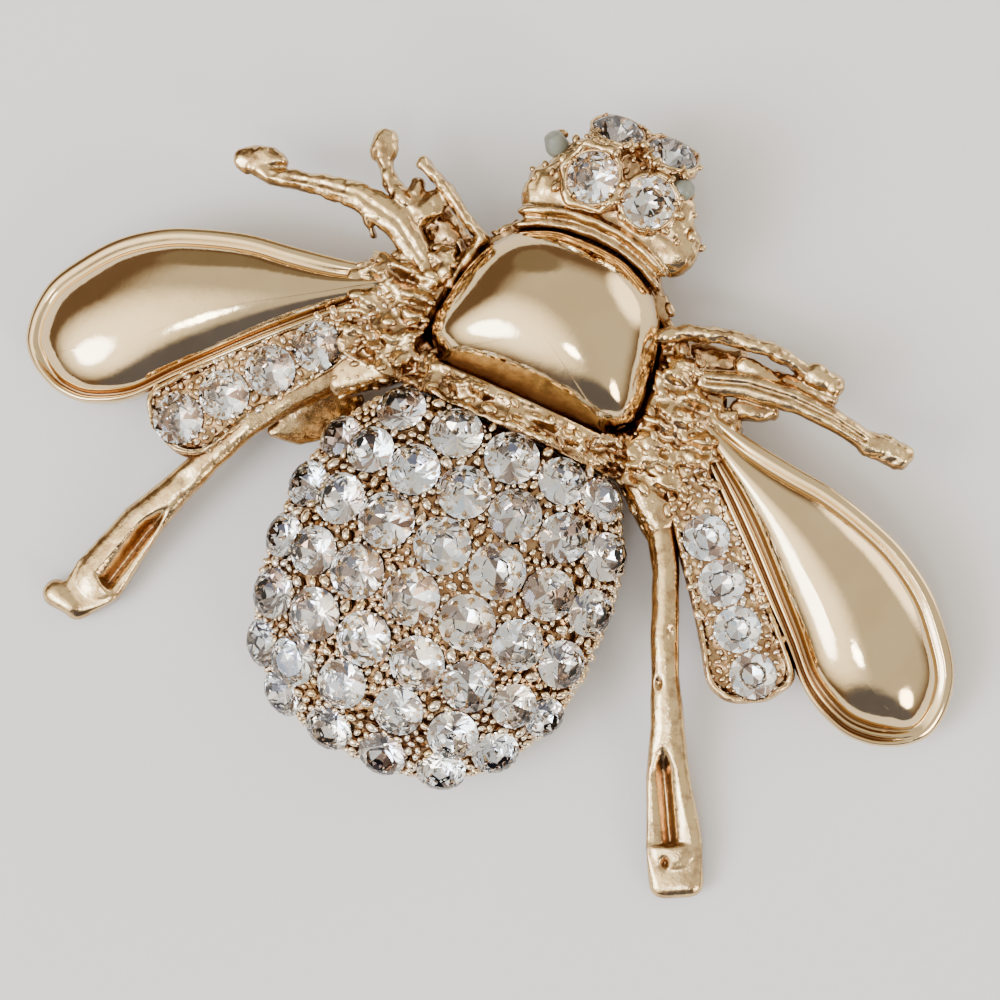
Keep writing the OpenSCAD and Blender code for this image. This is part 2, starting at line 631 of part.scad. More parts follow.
// The place of a head stone, one of the two rows
module at_head_stone(side, row) {
    s = head_seats[row];
    translate([head_shift, head_back, 0]) rotate([0, 0, -head_turn])
        translate([side * s[0] * head_w, s[1] * head_len, s[2] * head_h])
        rotate([-s[3], side * s[4], 0]) children();
}

module at_eye(side) {
    seat = eye_seats[side_of(side)];
    translate([head_shift, head_back, 0]) rotate([0, 0, -head_turn])
        translate([side * seat[0] * head_w, seat[1] * head_len, seat[2] * head_h])
        children();
}

module head_bands() {
    ring_r = 0.9 * thorax_len;
    for (band = [[0.15, 0.62, 0.95], [0.85, 0.70, 1.02]])
        translate([0, head_back + 0.35 - ring_r, 0]) intersection() {
            translate([0, 0, band[1] * head_h]) rotate_extrude($fn = 64)
                translate([ring_r + band[0], 0]) scale([0.42, 0.75]) circle(r = 1, $fn = 10);
            translate([-0.42 * head_w, 0, 0]) cube([0.84 * head_w, 2 * ring_r, 2 * head_h]);
        }
}

module head_core() {
    low = 0.7 * base_t + seat_gap;
    cheek_d = 0.30 * head_w;
    translate([head_shift, head_back, 0]) rotate([0, 0, -head_turn]) {
        hull() for (side = [left, right]) {
            bead([side * (head_w - cheek_d) / 2, 0.26 * head_len, 0.55 * head_h],
                cheek_d, 0.62 * head_h);
            bead([side * 0.2 * head_w, 0.62 * head_len, 0.68 * head_h], cheek_d, 0.5 * head_h);
            translate([side * 0.3 * head_w, 0.3 * head_len, low])
                cylinder(d = 0.2 * head_w, h = 0.1, $fn = 10);
        }
        hull() for (side = [left, right]) {
            bead([side * 0.17 * head_w, 0.5 * head_len, 0.6 * head_h], cheek_d, 0.55 * head_h);
            bead([side * 0.15 * head_w, 0.87 * head_len, 0.47 * head_h], 0.26 * head_w,
                0.42 * head_h);
        }
    }
    for (side = [left, right]) hull() {
        at_eye(side) bead([0, 0, -0.35 * eye_d], 0.9 * eye_d, 0.5 * eye_d);
        translate([side * 0.25 * head_w, head_back + 0.6 * head_len, 0.5 * head_h])
            bead([0, 0, 0], eye_d, eye_d);
    }
}

module head_setting() {
    color("#d2b080") resting() difference() {
        union() {
            head_core();
            head_bands();
            for (side = [left, right]) for (row = [0, 1])
                at_head_stone(side, row) bezel_post(head_stone_d, 0.12, 0.9);
        }
        for (side = [left, right]) {
            for (row = [0, 1]) at_head_stone(side, row) seat_cut(head_stone_d);
            at_eye(side) sphere(d = eye_d + 2 * stone_gap, $fn = 16);
        }
        translate([0, 0, -1]) linear_extrude(2 * head_h)
            offset(r = seat_gap + 0.1, $fn = 16) polygon(thorax_outline);
        translate([0, 0, -1]) linear_extrude(1 + base_t + seat_gap)
            offset(r = seam_w + seam_rim_w + seat_gap, $fn = 16) polygon(thorax_outline);
        translate([-head_w, head_back - head_len, -1])
            cube([2 * head_w, 3 * head_len, 1 + 0.7 * base_t + seat_gap]);
    }
}

module wing_stone(side, i) {
    color("#e4e6ee") resting() at_wing_stone(side, i) stone(wing_stone_d);
}

module head_stone(side, row) {
    color("#e4e6ee") resting() at_head_stone(side, row) stone(head_stone_d);
}

module eye(side) {
    color("#b9b6ad") resting() at_eye(side) sphere(d = eye_d);
}

// The pin fitting: a bar under the base, a hinge foot, a catch foot and the stem
module pin_bar() {
    hinge_l = 3;
    catch_l = 2.2;
    foot_w = 2.4;
    point_l = 1.6;
    stem_l = pin_bar_len + 1.5;
    stem_z = stem_d / 2 + 0.25;
    stem_y = (pin_y - tail_y) * cos(rest_tilt) + tail_y - mid_y;
    color("#c9ab7c") {
        resting() translate([-pin_bar_len / 2, pin_y - pin_bar_w / 2, -seat_gap - pin_bar_t])
            cube([pin_bar_len, pin_bar_w, pin_bar_t]);
        for (foot = [[1, hinge_l], [-1, catch_l]])
            translate([foot[0] * ((pin_bar_len - foot[1]) / 2 - 0.3), stem_y, pin_h / 2 - 0.15])
                cube([foot[1], foot_w, pin_h - 0.3], center = true);
        translate([-stem_l + pin_bar_len / 2 - 0.9, stem_y, stem_z]) rotate([0, 90, 0])
            skin([ring(stem_d / 2, point_l, 0, 12), ring(stem_d / 2, stem_l, 0, 12)],
                [0, 0, 0], [0, 0, stem_l]);
    }
}

wing_frame();
thorax_dome();
abdomen_setting();
abdomen_stones();
head_setting();
pin_bar();
wing_stone(left, 0);  // wing_stone_left_1
wing_stone(left, 1);  // wing_stone_left_2
wing_stone(left, 2);  // wing_stone_left_3
wing_stone(left, 3);  // wing_stone_left_4
wing_stone(right, 0);  // wing_stone_right_1
wing_stone(right, 1);  // wing_stone_right_2
wing_stone(right, 2);  // wing_stone_right_3
wing_stone(right, 3);  // wing_stone_right_4
head_stone(left, 0);  // head_stone_left
head_stone(right, 0);  // head_stone_right
head_stone(left, 1);  // front_stone_left
head_stone(right, 1);  // front_stone_right
eye(left);  // eye_left
eye(right);  // eye_right
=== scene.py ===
"""The finished surfaces of a bee brooch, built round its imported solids."""

import math

import bmesh
import bpy
import numpy as np
from bpy.props import FloatProperty, FloatVectorProperty, IntProperty, PointerProperty
from mathutils import Matrix, Vector, noise


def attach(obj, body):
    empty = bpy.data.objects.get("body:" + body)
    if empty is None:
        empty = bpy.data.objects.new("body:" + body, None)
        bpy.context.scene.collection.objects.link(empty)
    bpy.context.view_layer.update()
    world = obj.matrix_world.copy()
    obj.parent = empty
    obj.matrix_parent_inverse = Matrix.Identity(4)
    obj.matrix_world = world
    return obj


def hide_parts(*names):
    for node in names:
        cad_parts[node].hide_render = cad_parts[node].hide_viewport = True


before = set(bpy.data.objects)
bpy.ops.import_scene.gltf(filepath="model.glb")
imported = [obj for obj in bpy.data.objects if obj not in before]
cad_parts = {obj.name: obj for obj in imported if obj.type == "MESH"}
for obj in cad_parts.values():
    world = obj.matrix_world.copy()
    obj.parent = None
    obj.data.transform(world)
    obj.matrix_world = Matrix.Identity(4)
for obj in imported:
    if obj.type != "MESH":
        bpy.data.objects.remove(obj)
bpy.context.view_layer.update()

bl_info = {
    "name": "Bee brooch",
    "version": (1, 0, 0),
    "blender": (4, 5, 0),
    "location": "View3D > Sidebar > Bee brooch",
    "description": "Builds a gold-toned bee brooch with clear stones and its plain studio",
    "category": "Add Mesh",
}

MM = 0.001
LEFT, RIGHT = 0, 1
SIGN = (-1, 1)
SIDE_NAMES = ("left", "right")

# Shares of the thorax: along its length, and of its half width
THORAX_ROWS = [(0, 0.66), (0.025, 0.82), (0.11, 0.97), (0.23, 1), (0.38, 0.97), (0.53, 0.93),
               (0.71, 0.84), (0.855, 0.68), (0.955, 0.42), (0.99, 0.18)]
# Rows of abdomen stones: place along the half length, draw toward the middle, shares across
STONE_ROWS = [
    (0.734, 0, (-0.59, -0.22, 0.135, 0.455, 0.70)),
    (0.473, 0, (-0.865, -0.635, -0.345, -0.02, 0.30, 0.60, 0.855)),
    (0.181, 0, (-0.92, -0.675, -0.36, 0, 0.345, 0.66, 0.91)),
    (-0.118, 0, (-0.92, -0.69, -0.39, -0.04, 0.31, 0.62, 0.885)),
    (-0.410, 0, (-0.825, -0.525, -0.195, 0.145, 0.465, 0.74, 0.92)),
    (-0.675, 0, (-0.78, -0.54, -0.215, 0.15, 0.49, 0.745)),
    (-0.93, 0.2, (-0.55, -0.20, 0.15, 0.50))]
# How far the outer stones turn back up, and how square the abdomen is in plan and in height
LEAN = 0.65
PLAN_POWER = 2.4
DOME_POWER = 2.05
# Wing outlines: share of the length, then leading and trailing shares of the width
FOREWING_ROWS = [(0, 0.17, 0.11), (0.07, 0.215, 0.065), (0.18, 0.29, -0.01),
                 (0.30, 0.39, -0.095), (0.40, 0.48, -0.165), (0.51, 0.54, -0.245),
                 (0.62, 0.57, -0.325), (0.74, 0.54, -0.415), (0.85, 0.44, -0.405),
                 (0.92, 0.345, -0.325), (0.965, 0.225, -0.215), (0.99, 0.11, -0.11), (1, 0, 0)]
HINDWING_ROWS = [(0, 0.34, -0.16), (0.15, 0.40, -0.20), (0.35, 0.50, -0.26),
                 (0.55, 0.54, -0.30), (0.72, 0.56, -0.36), (0.86, 0.57, -0.42),
                 (0.93, 0.56, -0.34), (0.97, 0.48, -0.20), (0.99, 0.32, 0), (1, 0.15, 0.15)]
# The hindwing's side in millimetres: inset and height, then inset and height over its wall
HINDWING_SIDE = [(0.9, 0.32), (0.3, 0.3), (0.08, 0.38), (0, 0.55), (0, 0.95), (0.05, 1.08),
                 (0.17, 1.14), (0.20, 1.24)]
HINDWING_WALL = [(0.16, -0.30), (0.12, -0.12), (0.17, 0.02), (0.28, 0.09), (0.40, 0.05),
                 (0.46, -0.05)]
# The line of a wing's crest: start and stop as shares of the length, and its place across
FOREWING_CREST, HINDWING_CREST = (0.10, 0.88, 0.36), (0.06, 0.88, 0.5)
# How many points a wing's outline has from one row to the next
WING_FINE = 10
# The forewing's edge under its rim: inset and height in millimetres
FOREWING_EDGE = [(0.22, 0.04), (0.07, 0.15), (0, 0.35)]
# Where the forewing's rim passes into its inner rim and back, counted in rows
INNER_FROM, INNER_TO = (12.3, 15.0), (23.2, 24.2)
# The rolled rim in millimetres: extra width, half width, height, foot and half its rise
RIM_WIDER, ROLL_HALF, ROLL_H, ROLL_FOOT, ROLL_RISE = 0.10, 0.46, 0.34, 0.16, 0.09
# The inner rim, left and right: how much narrower, and its ridges: middle, half and height
INNER_NARROWER = (0.36, -0.10)
INNER_RIDGES = [[(0.25, 0.25, 0.42)], [(0.20, 0.20, 0.40), (0.68, 0.20, 0.38)]]
# How far a forewing bows up along its length, and how far its tip drops
WING_BOW, WING_DROP = 3.6, 1.1
# Where the wall round the hindwing's end begins and is full, as shares of its length
WALL_FROM = (0.62, 0.78)
# Left, right: forewing turn and width share; hindwing turn, length share, first stone, step
WING_SIDES = [(-29.2, 1.04, -51.8, 1, 0.325, 0.190), (-26.2, 1, -47, 0.955, 0.335, 0.172)]
WING_STONES = 4
# Hind leg: share of length, bow left and right, share of foot width, share of thickness up
HIND_ROWS = [(0, 0.03, 0.01, 0.56, 1.25), (0.14, 0.055, 0.022, 0.50, 1.45),
             (0.28, 0.070, 0.012, 0.50, 1.5), (0.42, 0.066, 0.008, 0.52, 1.4),
             (0.55, 0.058, 0.008, 0.60, 1.2), (0.68, 0.048, 0.006, 0.78, 1.0),
             (0.865, 0.006, 0.014, 1, 0.75)]
# The hind legs' turn in degrees, and where the step stands along them
HIND_TURN = -63.2
STEP_SHARE = 0.865
# The trough of each hind leg: its shift and half width as shares of the foot
TROUGH = [(-0.16, 0.27), (-0.08, 0.38)]
# Where the troughs begin and end, as shares of the leg's length
TROUGH_FROM, TROUGH_TO = (0.58, 0.68), (0.852, 0.866)
# Places along the leg, and the trough's width there as a share of its full width
TROUGH_PLACES, TROUGH_WIDTHS = (0.58, 0.66, 0.86), (0.06, 0.6, 1)
# The pits of each hind leg: place as shares of length and foot, radius and depth in mm
LEG_PITS = [[(0.50, 0.0, 0.5, 0.12)],
            [(0.905, -0.18, 0.26, 0.5), (0.43, -0.12, 0.30, 0.25),
             (0.30, 0.10, 0.34, 0.2)]]
# The web at the left hip: places as shares of the leg's length, heights of its thickness
HIP_WEB = [(0.01, -0.055, 0.2), (0.13, -0.07, 0.2), (0.20, -0.035, 0.25), (0.24, 0.02, 0.9),
           (0.02, 0.02, 0.9)]
# Foreleg rods as chains of beads: place by the reach, then width and height by the main rod
FORELEG_LEFT = [
    [(0.997, 0.11, 1.25, 1), (0.92, 0.15, 1.1, 1.07)],
    [(0.92, 0.15, 1.07, 1.07), (0.851, 0.163, 0.52, 1.07)],
    [(0.957, 0.111, 1.05, 1), (0.877, 0.076, 0.6, 1.07)],
    [(0.878, 0.088, 0.71, 1.07), (0.637, 0.139, 0.96, 1.36), (0.472, 0.16, 1.21, 1.5),
     (0.258, 0.121, 1.36, 1.5), (0.089, 0.012, 1.14, 1.36), (-0.006, -0.089, 1.29, 1.29)],
    [(0.47, 0.436, 1, 1.21), (0.462, 0.391, 1.14, 1.21)],
    [(0.46, 0.374, 0.57, 1.14), (0.372, 0.278, 0.68, 1.21), (0.271, 0.222, 0.79, 1.36)],
    [(0.267, 0.406, 0.54, 1.57), (0.124, 0.343, 0.57, 1.57), (0.011, 0.272, 0.57, 1.57),
     (-0.11, 0.207, 0.57, 1.5)],
    [(-0.11, 0.207, 0.54, 1.5), (-0.062, -0.024, 0.57, 1.36)],
    [(0.257, 0.318, 0.71, 1.14), (0.219, 0.186, 0.93, 1.29)],
    [(0.151, 0.277, 1.07, 1.29), (0.21, 0.141, 0.93, 1.29)],
    [(-0.02, 0.154, 0.32, 1.21), (-0.058, 0.113, 0.32, 1.21), (-0.02, 0.004, 0.36, 1.14)],
    [(0.142, 0.21, 1.57, 0.57), (-0.029, 0.103, 1.86, 0.57)],
    [(0.399, 0.093, 0.36, 1.36), (0.349, 0.031, 0.25, 0.93)]]
FORELEG_RIGHT = [
    [(0.138, 0.037, 1.13, 1.36), (0.304, 0.094, 1.13, 1.43), (0.506, 0.116, 1.06, 1.5)],
    [(0.506, 0.116, 1.02, 1.5), (0.698, 0.111, 0.91, 1.43)],
    [(0.698, 0.111, 0.87, 1.43), (0.859, 0.085, 0.87, 1.29)],
    [(0.893, 0.08, 1.13, 1.21), (1.016, 0.089, 1.21, 1.07)],
    [(0.859, 0.085, 0.87, 1.29), (0.893, 0.08, 1.13, 1.21)],
    [(-0.119, 0.133, 0.65, 1.64), (-0.021, 0.199, 0.65, 1.64), (0.167, 0.255, 0.68, 1.64),
     (0.317, 0.276, 0.65, 1.57), (0.407, 0.263, 0.6, 1.5)],
    [(0.549, 0.254, 1.02, 1.36), (0.636, 0.251, 1.02, 1.29)],
    [(0.407, 0.264, 0.53, 1.43), (0.541, 0.251, 0.68, 1.29)],
    [(0.39, 0.186, 0.53, 1.07), (0.665, 0.188, 0.53, 1.07)],
    [(0.26, 0.168, 0.91, 1.29), (0.42, 0.166, 0.68, 1.21)],
    [(0.319, -0.009, 0.99, 0.93), (0.449, 0.033, 0.68, 0.86)],
    [(0.043, 0.101, 1.52, 0.64), (0.226, 0.172, 1.21, 0.64)]]
FORELEGS = (FORELEG_LEFT, FORELEG_RIGHT)
# The groove of each foreleg: its first and last chain, and its depth in millimetres
GROOVES = [(3, 3, 0.1), (0, 2, 0.22)]
# How many beads the groove passes, and half its width in millimetres
GROOVE_BEADS, GROOVE_HALF = 5, 0.15
# How high the forelegs' rods are, as a share of the main rod's width
FORELEG_HIGH = 0.85
# Head stones: shares of head width, length and height, tilt forward and outward
HEAD_SEATS = [(0.157, 0.505, 0.98, -4, 9), (0.153, 0.985, 0.66, 52, 6)]
# Eyes, left and right: shares of head width, length and height
EYE_SEATS = [(0.420, 0.67, 0.66), (0.280, 0.72, 0.80)]
# An eye's side as shares of its radius: outwards, and up along its axis; and that axis
EYE_SIDE = [(0.60, -0.80), (0.90, -0.62), (0.97, -0.25), (0.88, 0.20), (0.77, 0.62),
            (0.68, 0.82), (0.50, 0.93), (0.25, 0.98)]
EYE_LEAN = (0.62, 0.50, 0.62)
# The head's bands: extra radius in millimetres, and height as a share of the head's
HEAD_BANDS = [(-0.50, 0.50), (0.15, 0.62), (0.85, 0.70)]
# Half a band's width and height in millimetres
BAND_WIDE, BAND_HIGH = 0.40, 0.75
# Where the claws stand round a head stone, in degrees
CLAW_TURNS = (45, 135, 225, 315)
# How far the head sits to the right, in millimetres
HEAD_SHIFT = 0.35

# How much wider the shown stones may be than the solid ones, to nearly touch
ABDOMEN_GROWTH, WING_GROWTH, HEAD_GROWTH = 1.16, 1.1, 1.07
STONE_GAP = 0.05
# How full the blown-up swells are: the smaller, the fuller
WING_SWELL_POWER, DOME_SWELL_POWER = 0.62, 0.50
# Voxels of the casts, in millimetres
WING_VOXEL, FORELEG_VOXEL, LEG_VOXEL, BASE_VOXEL, HEAD_VOXEL = 0.085, 0.09, 0.10, 0.13, 0.10

# The rough skins of the casts in layers of noise: lumps per millimetre, depth and seed
HINDWING_SKIN = [(1.6, 0.10, 2), (3.1, 0.05, 3)]
FORELEG_SKIN = [(1.2, 0.14, 9), (2.8, 0.07, 10)]
ABDOMEN_SKIN = [(1.3, 0.10, 21), (3.0, 0.05, 22)]
HEAD_SKIN = [(0.8, 0.30, 31), (1.9, 0.16, 32)]
# How far the abdomen's metal sinks between the stones, in millimetres
ABDOMEN_SINK = 0.30
# What each cast adds to the seed of its grains, and the seeds of the stones' turns
BASE_SEED, ABDOMEN_SEED, HEAD_SEED, HINDWING_SEED = 5, 10, 13, 20
FIELD_TURNS, WING_TURNS, HEAD_TURNS = 5, 11, 17
# The base's grains on its collar: from and to along it, and over which height
COLLAR_GRAINS = (0.35, 1.9, 2.2)
# The base's grains on the roots: how far they face up, their height, and out from the middle
ROOT_GRAINS = (0.3, 1.5, 5.0)
# How far the grains on the base are turned to each side, in degrees
GRAIN_TURN = -28

# How far a prong laps over the stones beside it, both sides together, in millimetres
PRONG_LAP = 0.1
# The wire rings of the head stones: how proud and how much wider than them, in millimetres
RING_PROUD, RING_WIDER = 0.03, 0.14
# The room for the dome in the base: how far out of its outline, and how deep, in millimetres
ROOM_OUT, ROOM_FLOOR = 0.24, 0.3
# How high the rim round the dome stands over the base, in millimetres
RIM_WALL = 0.55
# The rim's foot in millimetres out and up, then its side: out, and up as a share of its height
RIM_FOOT = [(0.55, 0.0), (0.85, 0.3)]
RIM_SIDE = [(0.85, 0.6), (0.85, 0.82), (0.76, 0.95), (0.58, 1.0), (0.40, 0.95), (0.31, 0.82),
            (0.31, 0.5), (0.31, 0)]
# Where the dome is highest, as a share of the thorax's length
THORAX_CREST = 0.36
# The dome in millimetres: its lap over the outline, its upright wall and its thickness on top
DOME_LAP, DOME_WALL, DOME_TOP = 0.20, 0.4, 1.2
# The room inside the dome: its share of the outline, and how square it is in height
DOME_ROOM, DOME_ROOM_POWER = 0.84, 2.2

# The cut of a stone, as shares of its width
TABLE_R, TABLE_Z = 0.30, 0.165
STAR_R, STAR_Z = 0.405, 0.105
GIRDLE_Z = 0.02
MAIN_R, MAIN_Z = 0.30, -0.19
CULET_Z = -0.40

# The cup under a stone in millimetres: how much deeper, how much wider, and how far above it
CUP_DEEPER, CUP_WIDER, CUP_OVER = 0.07, 0.06, 0.9
# Farther than any two points that are compared, in millimetres
FAR = 9.0
# Points closer than this are merged, and shorter edges go, both in millimetres
MERGE, SLIVER = 1e-4, 1e-5
# The step over which the abdomen's slope is taken, in millimetres, and its points around
SLOPE_STEP, ABDOMEN_AROUND = 0.02, 420

# Painted flashes of colour on the foil: a cold and a warm tint, and how far they tint it
FLASH_COLD, FLASH_WARM, FLASH_SHARE = (0.70, 0.86, 1.0), (1.0, 0.90, 0.70), 0.45
GLASS_IOR = 1.56

# The camera's own right and back directions, and its sensor in millimetres
CAMERA_RIGHT, CAMERA_BACK = (0.9046, 0.4238, -0.0447), (0.105, -0.12, 0.9872)
SENSOR = 36
# The nearest and the farthest that the camera sees, in metres
CAMERA_CLIP = (0.01, 10)
# Half the floor's width in metres, and the soft lamp: direction, distance, sizes and tint
FLOOR_HALF = 4
LAMP_FROM, LAMP_FAR, LAMP_SIZE = (-0.45, -0.55, 0.95), 0.55, (0.26, 0.20)
LAMP_TINT = (1.0, 0.96, 0.90)

# The room: its general tone, and round patches: middle, inner and outer angle, tone
SKY_TONE = (0.16, 0.105, 0.07)
SKY = [((0.28, 0.13, 0.95), 48, 74, (0.72, 0.67, 0.59)),
       ((-0.42, -0.55, 0.72), 5, 46, (2.5, 2.35, 2.1)),
       ((-0.50, 0.74, 0.45), 14, 20, (0.24, 0.20, 0.15)),
       ((0.49, -0.87, 0.17), 26, 38, (0.13, 0.13, 0.17)),
       ((-0.46, -0.62, 0.62), 9, 16, (8.5, 9.5, 11.5)),
       ((0.14, -0.50, 0.86), 3, 6, (14, 15, 17)),
       ((0.82, -0.35, 0.45), 7, 11, (12, 11, 10)),
       ((0.55, 0.80, 0.12), 16, 28, (3.0, 2.8, 2.6))]


def length(name, description, mm):
    """A size of the brooch, given in millimetres and kept in metres."""
    return FloatProperty(name=name, description=description, default=mm * MM, min=0,
                         unit="LENGTH", precision=5)


def colour(name, description, value):
    """A linear colour of one finish."""
    return FloatVectorProperty(name=name, description=description, default=value, size=3,
                               min=0, max=1, subtype="COLOR")


class BeeSizes(bpy.types.PropertyGroup):
    """Sizes of the bee, drawn flat before it is laid on its back."""

    thorax_w: length("Thorax width", "Width of the polished thorax dome", 12.3)
    thorax_len: length("Thorax length", "Length of the thorax dome from back to front", 9.2)
    thorax_h: length("Thorax height", "Height of the thorax dome above its seat", 4.6)
    base_t: length("Base thickness", "Thickness of the base plate under the thorax", 1.6)
    seam_w: length("Seam width", "Dark seam between the thorax and the rim round it", 0.35)
    collar_len: length("Collar depth", "Depth of the collar band behind the thorax", 2.2)
    collar_w: length("Collar width", "Width of the collar band", 14.2)
    collar_h: length("Collar height", "Height of the collar band above the back", 5.5)
    abdomen_w: length("Abdomen width", "Width of the metal under the stones", 18.8)
    abdomen_len: length("Abdomen length", "Length of the metal under the stones", 21.3)
    abdomen_cut: length("Abdomen cut", "Length of the end that the collar cuts off", 1.6)
    abdomen_h: length("Abdomen height", "Height of the metal dome above the back", 7.4)
    skirt_h: length("Skirt height", "Height of the plain skirt below the dome", 2.4)
    abdomen_wall: length("Abdomen wall", "Wall of the hollow abdomen", 1.5)
    field_d: length("Middle stones", "Diameter of the stones along the middle", 3.1)
    side_d: length("Side stones", "Diameter of the stones at the sides", 2.35)
    wing_stone_d: length("Wing stones", "Diameter of the wing stones", 2.6)
    head_stone_d: length("Head stones", "Diameter of the head stones", 2.75)
    eye_d: length("Eyes", "Diameter of the milky eyes", 1.4)
    forewing_len: length("Forewing length", "Length of a forewing from its root", 23.1)
    forewing_w: length("Forewing width", "Greatest width of the right forewing", 9.3)
    forewing_t: length("Forewing thickness", "Thickness of a forewing at its rim", 1.3)
    forewing_swell: length("Forewing swell", "Height of the polished swell", 1.7)
    wing_rim_w: length("Forewing rim", "Width of the rolled rim round a forewing", 0.86)
    wing_groove: length("Forewing groove", "Depth of the groove inside the rim", 0.4)
    hindwing_len: length("Hindwing length", "Length of a hindwing from its root", 15.5)
    hindwing_w: length("Hindwing width", "Greatest width of a hindwing", 4.9)
    hindwing_t: length("Hindwing thickness", "Thickness of a hindwing", 1.9)
    hindwing_rim_h: length("Hindwing rim", "Height of the wall round its end", 0.35)
    hind_leg_len: length("Hind leg length", "Length of a hind leg from its hip", 20.9)
    hind_foot_w: length("Hind foot width", "Width of a hind foot", 3.2)
    leg_t: length("Leg thickness", "Thickness of the legs", 1.3)
    foreleg_reach: length("Foreleg reach", "Reach of a foreleg from its root", 12.8)
    foreleg_w: length("Foreleg width", "Width of the foreleg's main rod", 1.4)
    head_w: length("Head width", "Width of the head across its cheeks", 10.8)
    head_len: length("Head length", "Length of the head to its front stones", 6.5)
    head_h: length("Head height", "Height of the head above the back", 3.7)
    pin_h: length("Pin height", "Height of the pin fitting below the back", 2.8)
    seat_gap: length("Seat gap", "Clearance between pieces that seat on each other", 0.1)
    bead_w: length("Bead width", "Width of the largest grains on the cast metal", 0.42)


class BeeFinishes(bpy.types.PropertyGroup):
    """Colours of the metals, the stones and the eyes."""

    gold: colour("Polished gold", "Colour of the polished wings and thorax",
                 (0.82, 0.62, 0.35))
    gold_shade: colour("Polished gold shade", "Deeper tone that drifts over the polish",
                       (0.74, 0.54, 0.28))
    cast: colour("Cast gold", "Colour of the cast legs, roots and settings",
                 (0.82, 0.58, 0.27))
    prong: colour("Prongs", "Pale bright metal of the prongs between the stones",
                  (0.98, 0.89, 0.75))
    # Painted shade and real stains: this brown is mixed into every metal where a place is
    # hidden, into the cast metal on flanks facing sideways or down, and as random stains on the
    # cast metal
    shade_and_stain_brown: colour("Recesses", "Dark brown in the hollows of the cast metal",
                   (0.30, 0.165, 0.08))
    glass: colour("Stones", "Tint of the clear stones", (0.97, 0.98, 1.0))
    foil_light: colour("Bright foil", "Bright facets behind a stone", (1.0, 1.0, 1.0))
    # Painted dark reflections: random back facets of the foil take this dark tone
    painted_dark_facet: colour("Dark foil", "Dark facets behind a stone", (0.34, 0.24, 0.19))
    eye: colour("Eyes", "Milky grey-green of the eyes", (0.15, 0.155, 0.12))
    pin: colour("Pin metal", "Colour of the pin fitting", (0.62, 0.45, 0.24))
    floor: colour("Floor", "Plain pale floor", (0.78, 0.77, 0.75))
    grain_seed: IntProperty(name="Grain seed", description="Seed of the scattered grains",
                            default=7)


class BeeStage(bpy.types.PropertyGroup):
    """The camera and the lights of the studio."""

    eye_point: FloatVectorProperty(name="Camera place", description="Where the camera stands",
                                   default=(0.01587, -0.01972, 0.14138), size=3,
                                   subtype="TRANSLATION")
    lens: FloatProperty(name="Lens", description="Focal length in millimetres", default=90,
                        unit="CAMERA")
    room: FloatProperty(name="Room light", description="Strength of the light from all round",
                        default=1.3, min=0)
    soft_lamp: FloatProperty(name="Soft lamp", description="Power of the large soft lamp",
                             default=0.7, min=0, unit="POWER")


class Sizes:
    """The sizes in millimetres, with the places that follow from them."""

    def __init__(self):
        group = bpy.context.scene.bee_sizes
        for key in BeeSizes.__annotations__:
            setattr(self, key, getattr(group, key) / MM)
        self.abdomen_y = self.abdomen_cut - self.seat_gap - self.abdomen_len / 2
        self.tail_y = self.abdomen_y - self.abdomen_len / 2
        self.head_back = self.collar_len + self.thorax_len
        head_front = self.head_back + self.head_len
        pin_y = self.collar_len + 0.32 * self.thorax_len
        self.tilt = math.asin(self.pin_h / (pin_y - self.tail_y))
        self.mid_y = self.tail_y + ((head_front + 1.15 - self.tail_y) * math.cos(self.tilt)
                                    - 0.45 * self.head_stone_d) / 2 + 0.135
        self.forewing_root = (self.thorax_w / 2 + 1.35,
                              self.collar_len + 0.26 * self.thorax_len, 0.55)
        self.hindwing_root = [
            (self.thorax_w / 2 + 2.1, self.collar_len + 0.15 * self.thorax_len, 0.5),
            (self.thorax_w / 2 + 2.5, self.collar_len + 0.05 * self.thorax_len, 0.5)]
        self.hind_hip = (self.abdomen_w / 2 + 0.2, -0.5 * self.collar_len, 0)
        self.foreleg_root = (self.thorax_w / 2 + 1.05,
                             self.collar_len + 0.478 * self.thorax_len, 0)


def laid(points, s):
    """Flat millimetres to the frame of the solids: laid on the pin fitting and the tail."""
    p = np.asarray(points, float)
    y = p[:, 1] - s.tail_y
    c, n = math.cos(s.tilt), math.sin(s.tilt)
    return np.stack([p[:, 0], s.tail_y + y * c - p[:, 2] * n - s.mid_y,
                     y * n + p[:, 2] * c], 1) * MM


def turned(points, degrees):
    """Points turned about Z."""
    a = math.radians(degrees)
    p = np.asarray(points, float)
    return np.stack([p[:, 0] * math.cos(a) - p[:, 1] * math.sin(a),
                     p[:, 0] * math.sin(a) + p[:, 1] * math.cos(a), p[:, 2]], 1)


def placed(points, root, degrees, side):
    """Points of a limb's own frame, set on its root on one side of the bee."""
    p = turned(points, degrees) + np.asarray(root, float)
    return p * (SIGN[side], 1, 1)


def on_its_root(mesh, root, degrees, side):
    """A limb's mesh set on its root, its faces outwards on either side of the bee."""
    moved_mesh(mesh, lambda co: placed(co, root, degrees, side))
    if side == LEFT:
        mesh.flip_normals()
    return mesh


def unit(v):
    """Unit vectors along the last axis."""
    v = np.asarray(v, float)
    return v / np.linalg.norm(v, axis=-1, keepdims=True)


def lift_to(axis):
    """The turn that brings Z onto an axis."""
    return np.array(Vector(axis).to_track_quat("Z", "Y").to_matrix())


def smooth_step(x, low, high):
    """A soft step from 0 to 1."""
    t = np.clip((np.asarray(x, float) - low) / (high - low), 0, 1)
    return t * t * (3 - 2 * t)


